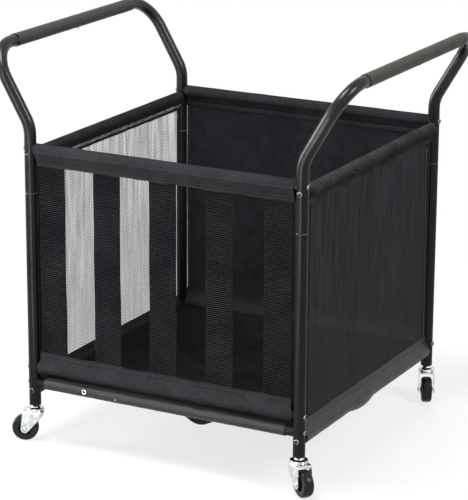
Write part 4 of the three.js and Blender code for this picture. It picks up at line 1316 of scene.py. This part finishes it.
def edge_hem(side, x, seed, name, end, low_width, high_width):
    """Closed cloth folded over one upright edge of a side net, and its row of stitches."""
    inwards = -math.copysign(1, end)
    shares = (0, 0.03, 0.12, 0.35, 0.65, 0.9, 0.97, 1)
    halves = (0.5, 0.9, 1.15, 1.0, 1.0, 1.15, 0.9, 0.4)
    low, high = SIDE_BASE + BASE_HEM_RISE - 2, SIDE_TOP - SIDE_HEM_DROP + 2
    rows, us = [], spread(low, high, 120)

    def wide(z):
        return low_width + (high_width - low_width) * (z - low) / (high - low)

    for z in us:
        ripple = 0.35 * max(0.0, wobble(z, end, 0, size=9, seed=seed + 6))
        ys = [end + inwards * wide(z) * share for share in shares]
        places = [(x + net_bulge(seed, y, z), y, half) for y, half in zip(ys, halves)]
        rows.append([(a + half + ripple, y, z) for a, y, half in places])
        rows[-1] += [(a - half, y, z) for a, y, half in places[::-1]]
    vs = [high_width * share for share in (*shares, *shares[::-1], 0)]
    trims = [piece(f"edge_hem_{side}_{name}", loft(rows, us, vs), "oxford_painted_shade", sharp=60)]
    for face in (-1, 1):
        def on_edge(z, face=face):
            y = end + inwards * max(2.0, wide(z) - 2.4)
            return x + net_bulge(seed, y, z) + face * 1.3, y, z
        # The outer row on the right net's back edge is a bold light thread whose lightness is painted light,
        # standing for a highlight along the folded edge.
        thread = ("light_thread", BOLD_THREAD) if x > 0 and end > 0 and face > 0 else ("thread", THREAD)
        label = f"edge_stitches_{side}_{name}_{'in' if face * x < 0 else 'out'}"
        trims.append(seam(label, on_edge, Vector((face, 0, 0)), low + 4, high - 8, 3.4, *thread))
    return trims


def side_net(side, x, seed, tied, back_widths):
    """A side net with an edge hem at each end; its thread is tied off at y = tied."""
    us, vs = spread(NET_LOW, NET_HIGH, 70), spread(0, 2 * NET_HALF, 150)
    rows = [[(x + net_bulge(seed, v - NET_HALF, z), v - NET_HALF, z) for v in vs] for z in us]
    net = Form().grid(rows, us=us, vs=vs)
    obj = piece(f"net_panel_{side}", net, "net", f"mesh_panel_{side}", sharp=None)
    edge = SIDE_HEM / 2 - 0.8
    trims = edge_hem(side, x, seed, "front", -edge, 19, 21)
    trims += edge_hem(side, x, seed, "back", edge, *back_widths)
    stands = x + net_bulge(seed, tied, NET_THREAD_END_Z) + 1.5
    trims.append(thread_end(f"thread_end_{side}", Vector((stands, tied, NET_THREAD_END_Z))))


def back_panel():
    """Closed cloth with slack and slanting pulls, and a binding down each of its edges."""
    bottom = CROSS_BASE + BASE_HEM_RISE - SEAM_ALLOWANCE
    top = CROSS_TOP - CROSS_HEM_DROP + SEAM_ALLOWANCE
    half = CROSS_HEM / 2 - PANEL_SIDE_GAP

    def bulge(x, z):
        held = limited(min((z - bottom) / 25, (top - z) / 25)) * limited((half - abs(x)) / 20, low=0.2)
        slack = wobble(x, z * 0.6, 0, size=120, seed=31) * 3.0
        pulls = wobble(x * 0.9 + z * 0.25, z * 0.12, 5, size=26, seed=33) * 0.9
        return HALF_D + (slack + pulls) * held

    us, vs = spread(bottom, top, 90), spread(-half, half, 130)
    around = [(x, BACK_CLOTH / 2) for x in vs] + [(x, -BACK_CLOTH / 2) for x in vs[::-1]]
    rows = [[(x, bulge(x, z) + stand, z) for x, stand in around] for z in us]
    cloth = loft(rows, us, [*vs, *vs[::-1], vs[0]])
    obj = piece("closed_back_panel", cloth, "back", "back_panel", sharp=60)
    bindings, heights = [], spread(CROSS_BASE + BASE_HEM_RISE - 2, CROSS_TOP - CROSS_HEM_DROP + 2, 120)
    for side, x, out in (("left", -half, 2.6), ("right", half, 3.9)):
        ring = [(out, 0.2), (out - 0.2, 0.8), (out - 1.2, 1.1), (-3.4, 1.0), (-4.2, 0.5)]
        ring += [(a, -b) for a, b in ring[::-1]]
        rows = []
        for z in heights:
            ripple = 1 + 0.3 * wobble(z, x, 0, size=10, seed=37)
            rows.append([(x + math.copysign(1, x) * a, bulge(x, z) + b * ripple, z) for a, b in ring])
        binding = loft(rows, heights, [k * 1.5 for k in range(len(ring) + 1)])
        bindings.append(piece(f"back_binding_{side}", binding, "oxford_painted_shade", sharp=60))
    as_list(bindings)


def floor_net():
    """The floor hangs in one sag from its sewn border, with slack creases, and lower in one place in front."""
    middle, half_y = (FLOOR_BACK + FLOOR_FRONT) / 2, (FLOOR_BACK - FLOOR_FRONT) / 2

    def height(x, y):
        a, b = [limited(at / (half - FLOOR_BORDER), low=-1.0) for at, half in ((x, FLOOR_HALF_X), (y, half_y))]
        fall = (1 - a ** 4) * (1 - b ** 4)
        fold = wobble(x, y, 0, size=34, seed=41) * 3.2 + wobble(x * 0.5, y * 1.6, 3, size=18, seed=43) * 1.1
        low = max(0.0, 1 - ((x - 40) / 52) ** 2 - ((middle + y + 214) / 42) ** 2) ** 1.6 * 26
        return CROSS_BASE - FLOOR_SAG * fall + fold * 4 * fall * (1 - fall) - low

    us, vs = spread(-half_y, half_y, 120), spread(-FLOOR_HALF_X, FLOOR_HALF_X, 120)
    net = Form().grid([[(x, middle + y, height(x, y)) for x in vs] for y in us], us=us, vs=vs)
    # Its finish is painted shade: a dark, closed copy of the net.
    obj = piece("sagging_floor_net", net, "floor_net", "floor_mesh", sharp=None)


# Stage, lights and camera

def stage():
    """A pale floor that fades to plain white around the object and keeps its shadow."""
    grey = (0.25, 0.25, 0.25, 1)
    finish = Finish("pale_floor", Base_Color=grey, Roughness=0.9, Specular_IOR_Level=0.1)
    nodes, material = finish.nodes, finish.material
    seen = nodes.seen()
    lift = nodes.add("Emission", {"Color": (1, 1, 1, 1), "Strength": nodes.times(seen, 0.74)})
    near = nodes.add("AddShader", {0: finish.shader.outputs[0], 1: lift.outputs[0]})
    distance = nodes.add("VectorMath", {0: nodes.place()}, operation="LENGTH").outputs["Value"]
    away = nodes.times(nodes.mapped(distance, 0.55, 1.5, 0.0, 1.0, smooth=True), seen)
    plain = nodes.add("Emission", {"Color": (1, 1, 1, 1), "Strength": 1.0})
    mixed = nodes.add("MixShader", {0: away, 1: near.outputs[0], 2: plain.outputs[0]})
    nodes.feed(material.node_tree.nodes["Material Output"].inputs["Surface"], mixed.outputs[0])
    mesh = bpy.data.meshes.new("studio_floor")
    half = 30
    corners = [(-half, -half, 0), (half, -half, 0), (half, half, 0), (-half, half, 0)]
    mesh.from_pydata(corners, [], [(0, 1, 2, 3)])
    mesh.materials.append(material)
    placed("studio_floor", mesh)


def lamp(name, at, aim, size, power, mirrored=True):
    light = bpy.data.lights.new(name, "AREA")
    light.shape, light.size, light.size_y, light.energy = "RECTANGLE", size[0], size[1], power
    obj = placed(name, light)
    obj.visible_camera, obj.visible_glossy = False, mirrored
    obj.location = at
    obj.rotation_euler = (Vector(aim) - Vector(at)).to_track_quat("-Z", "Y").to_euler()


def lights():
    world = bpy.data.worlds.new("studio")
    bpy.context.scene.world = world
    world.use_nodes = True
    nodes, background = Nodes(world.node_tree), world.node_tree.nodes["Background"].inputs
    nodes.feed(background["Strength"], nodes.between(nodes.seen(), 0.14, 1.0))
    nodes.feed(background["Color"], (1, 1, 1, 1))
    lamp("front_strip", (-0.62, -1.5, 0.75), (-0.25, -0.2, 0.62), (0.12, 1.2), 7)
    lamp("low_front", (-0.25, -1.5, 0.16), (-0.22, -1.35, 1.16), (0.1, 1.7), 4.5)
    lamp("low_left", (-1.3, -3.2, 0.3), (-1.2, -2.95, 1.3), (0.4, 1.3), 11)
    lamp("leg_light", (0.14, -1.62, 0.04), (0.33, -0.28, 0.66), (0.3, 0.5), 8)
    lamp("left_rim", (-2.4, -0.6, 0.8), (0, 0, 0.6), (0.9, 1.2), 56)
    lamp("right_fill", (3.0, -0.4, 2.5), (0, 0, 0.5), (0.7, 1.2), 64)
    lamp("back_fill", (-0.9, 3.1, 0.9), (0, 0.2, 0.35), (1.5, 1.2), 40, mirrored=False)
    lamp("overhead", (-0.4, -0.9, 3.0), (0, 0, 0.35), (1.3, 0.9), 66)


def camera():
    """A long lens at the height and turn that the fitted view has."""
    azimuth, elevation, roll = math.radians(27.9819), math.radians(16.4232), math.radians(0.3204)
    right = Vector((math.cos(azimuth), math.sin(azimuth), 0))
    back = Vector((right.y * math.cos(elevation), -right.x * math.cos(elevation), math.sin(elevation)))
    up = back.cross(right)
    side = right * math.cos(roll) + up * math.sin(roll)
    over = up * math.cos(roll) - right * math.sin(roll)
    data = bpy.data.cameras.new("view")
    data.sensor_fit, data.sensor_width, data.lens, data.clip_end = "HORIZONTAL", 36, 179.55, 60
    obj = placed("view", data)
    at = Vector((1957.087, -3694.026, 1566.354)) * MM
    obj.matrix_world = Matrix.Translation(at) @ Matrix((side, over, back)).transposed().to_4x4()
    bpy.context.scene.camera = obj
    bpy.context.scene.view_settings.view_transform = "Standard"


camera()
stage()
lights()
frame_tubes()
post_screws()
bar_screws()
spare_hole()
press_stud()
casters()
hems()
for number in range(5):
    strap(number)
side_net("left", -HALF_W, 51, 257, (4.5, 5))
side_net("right", HALF_W, 57, 245, (12, 24))
back_panel()
floor_net()
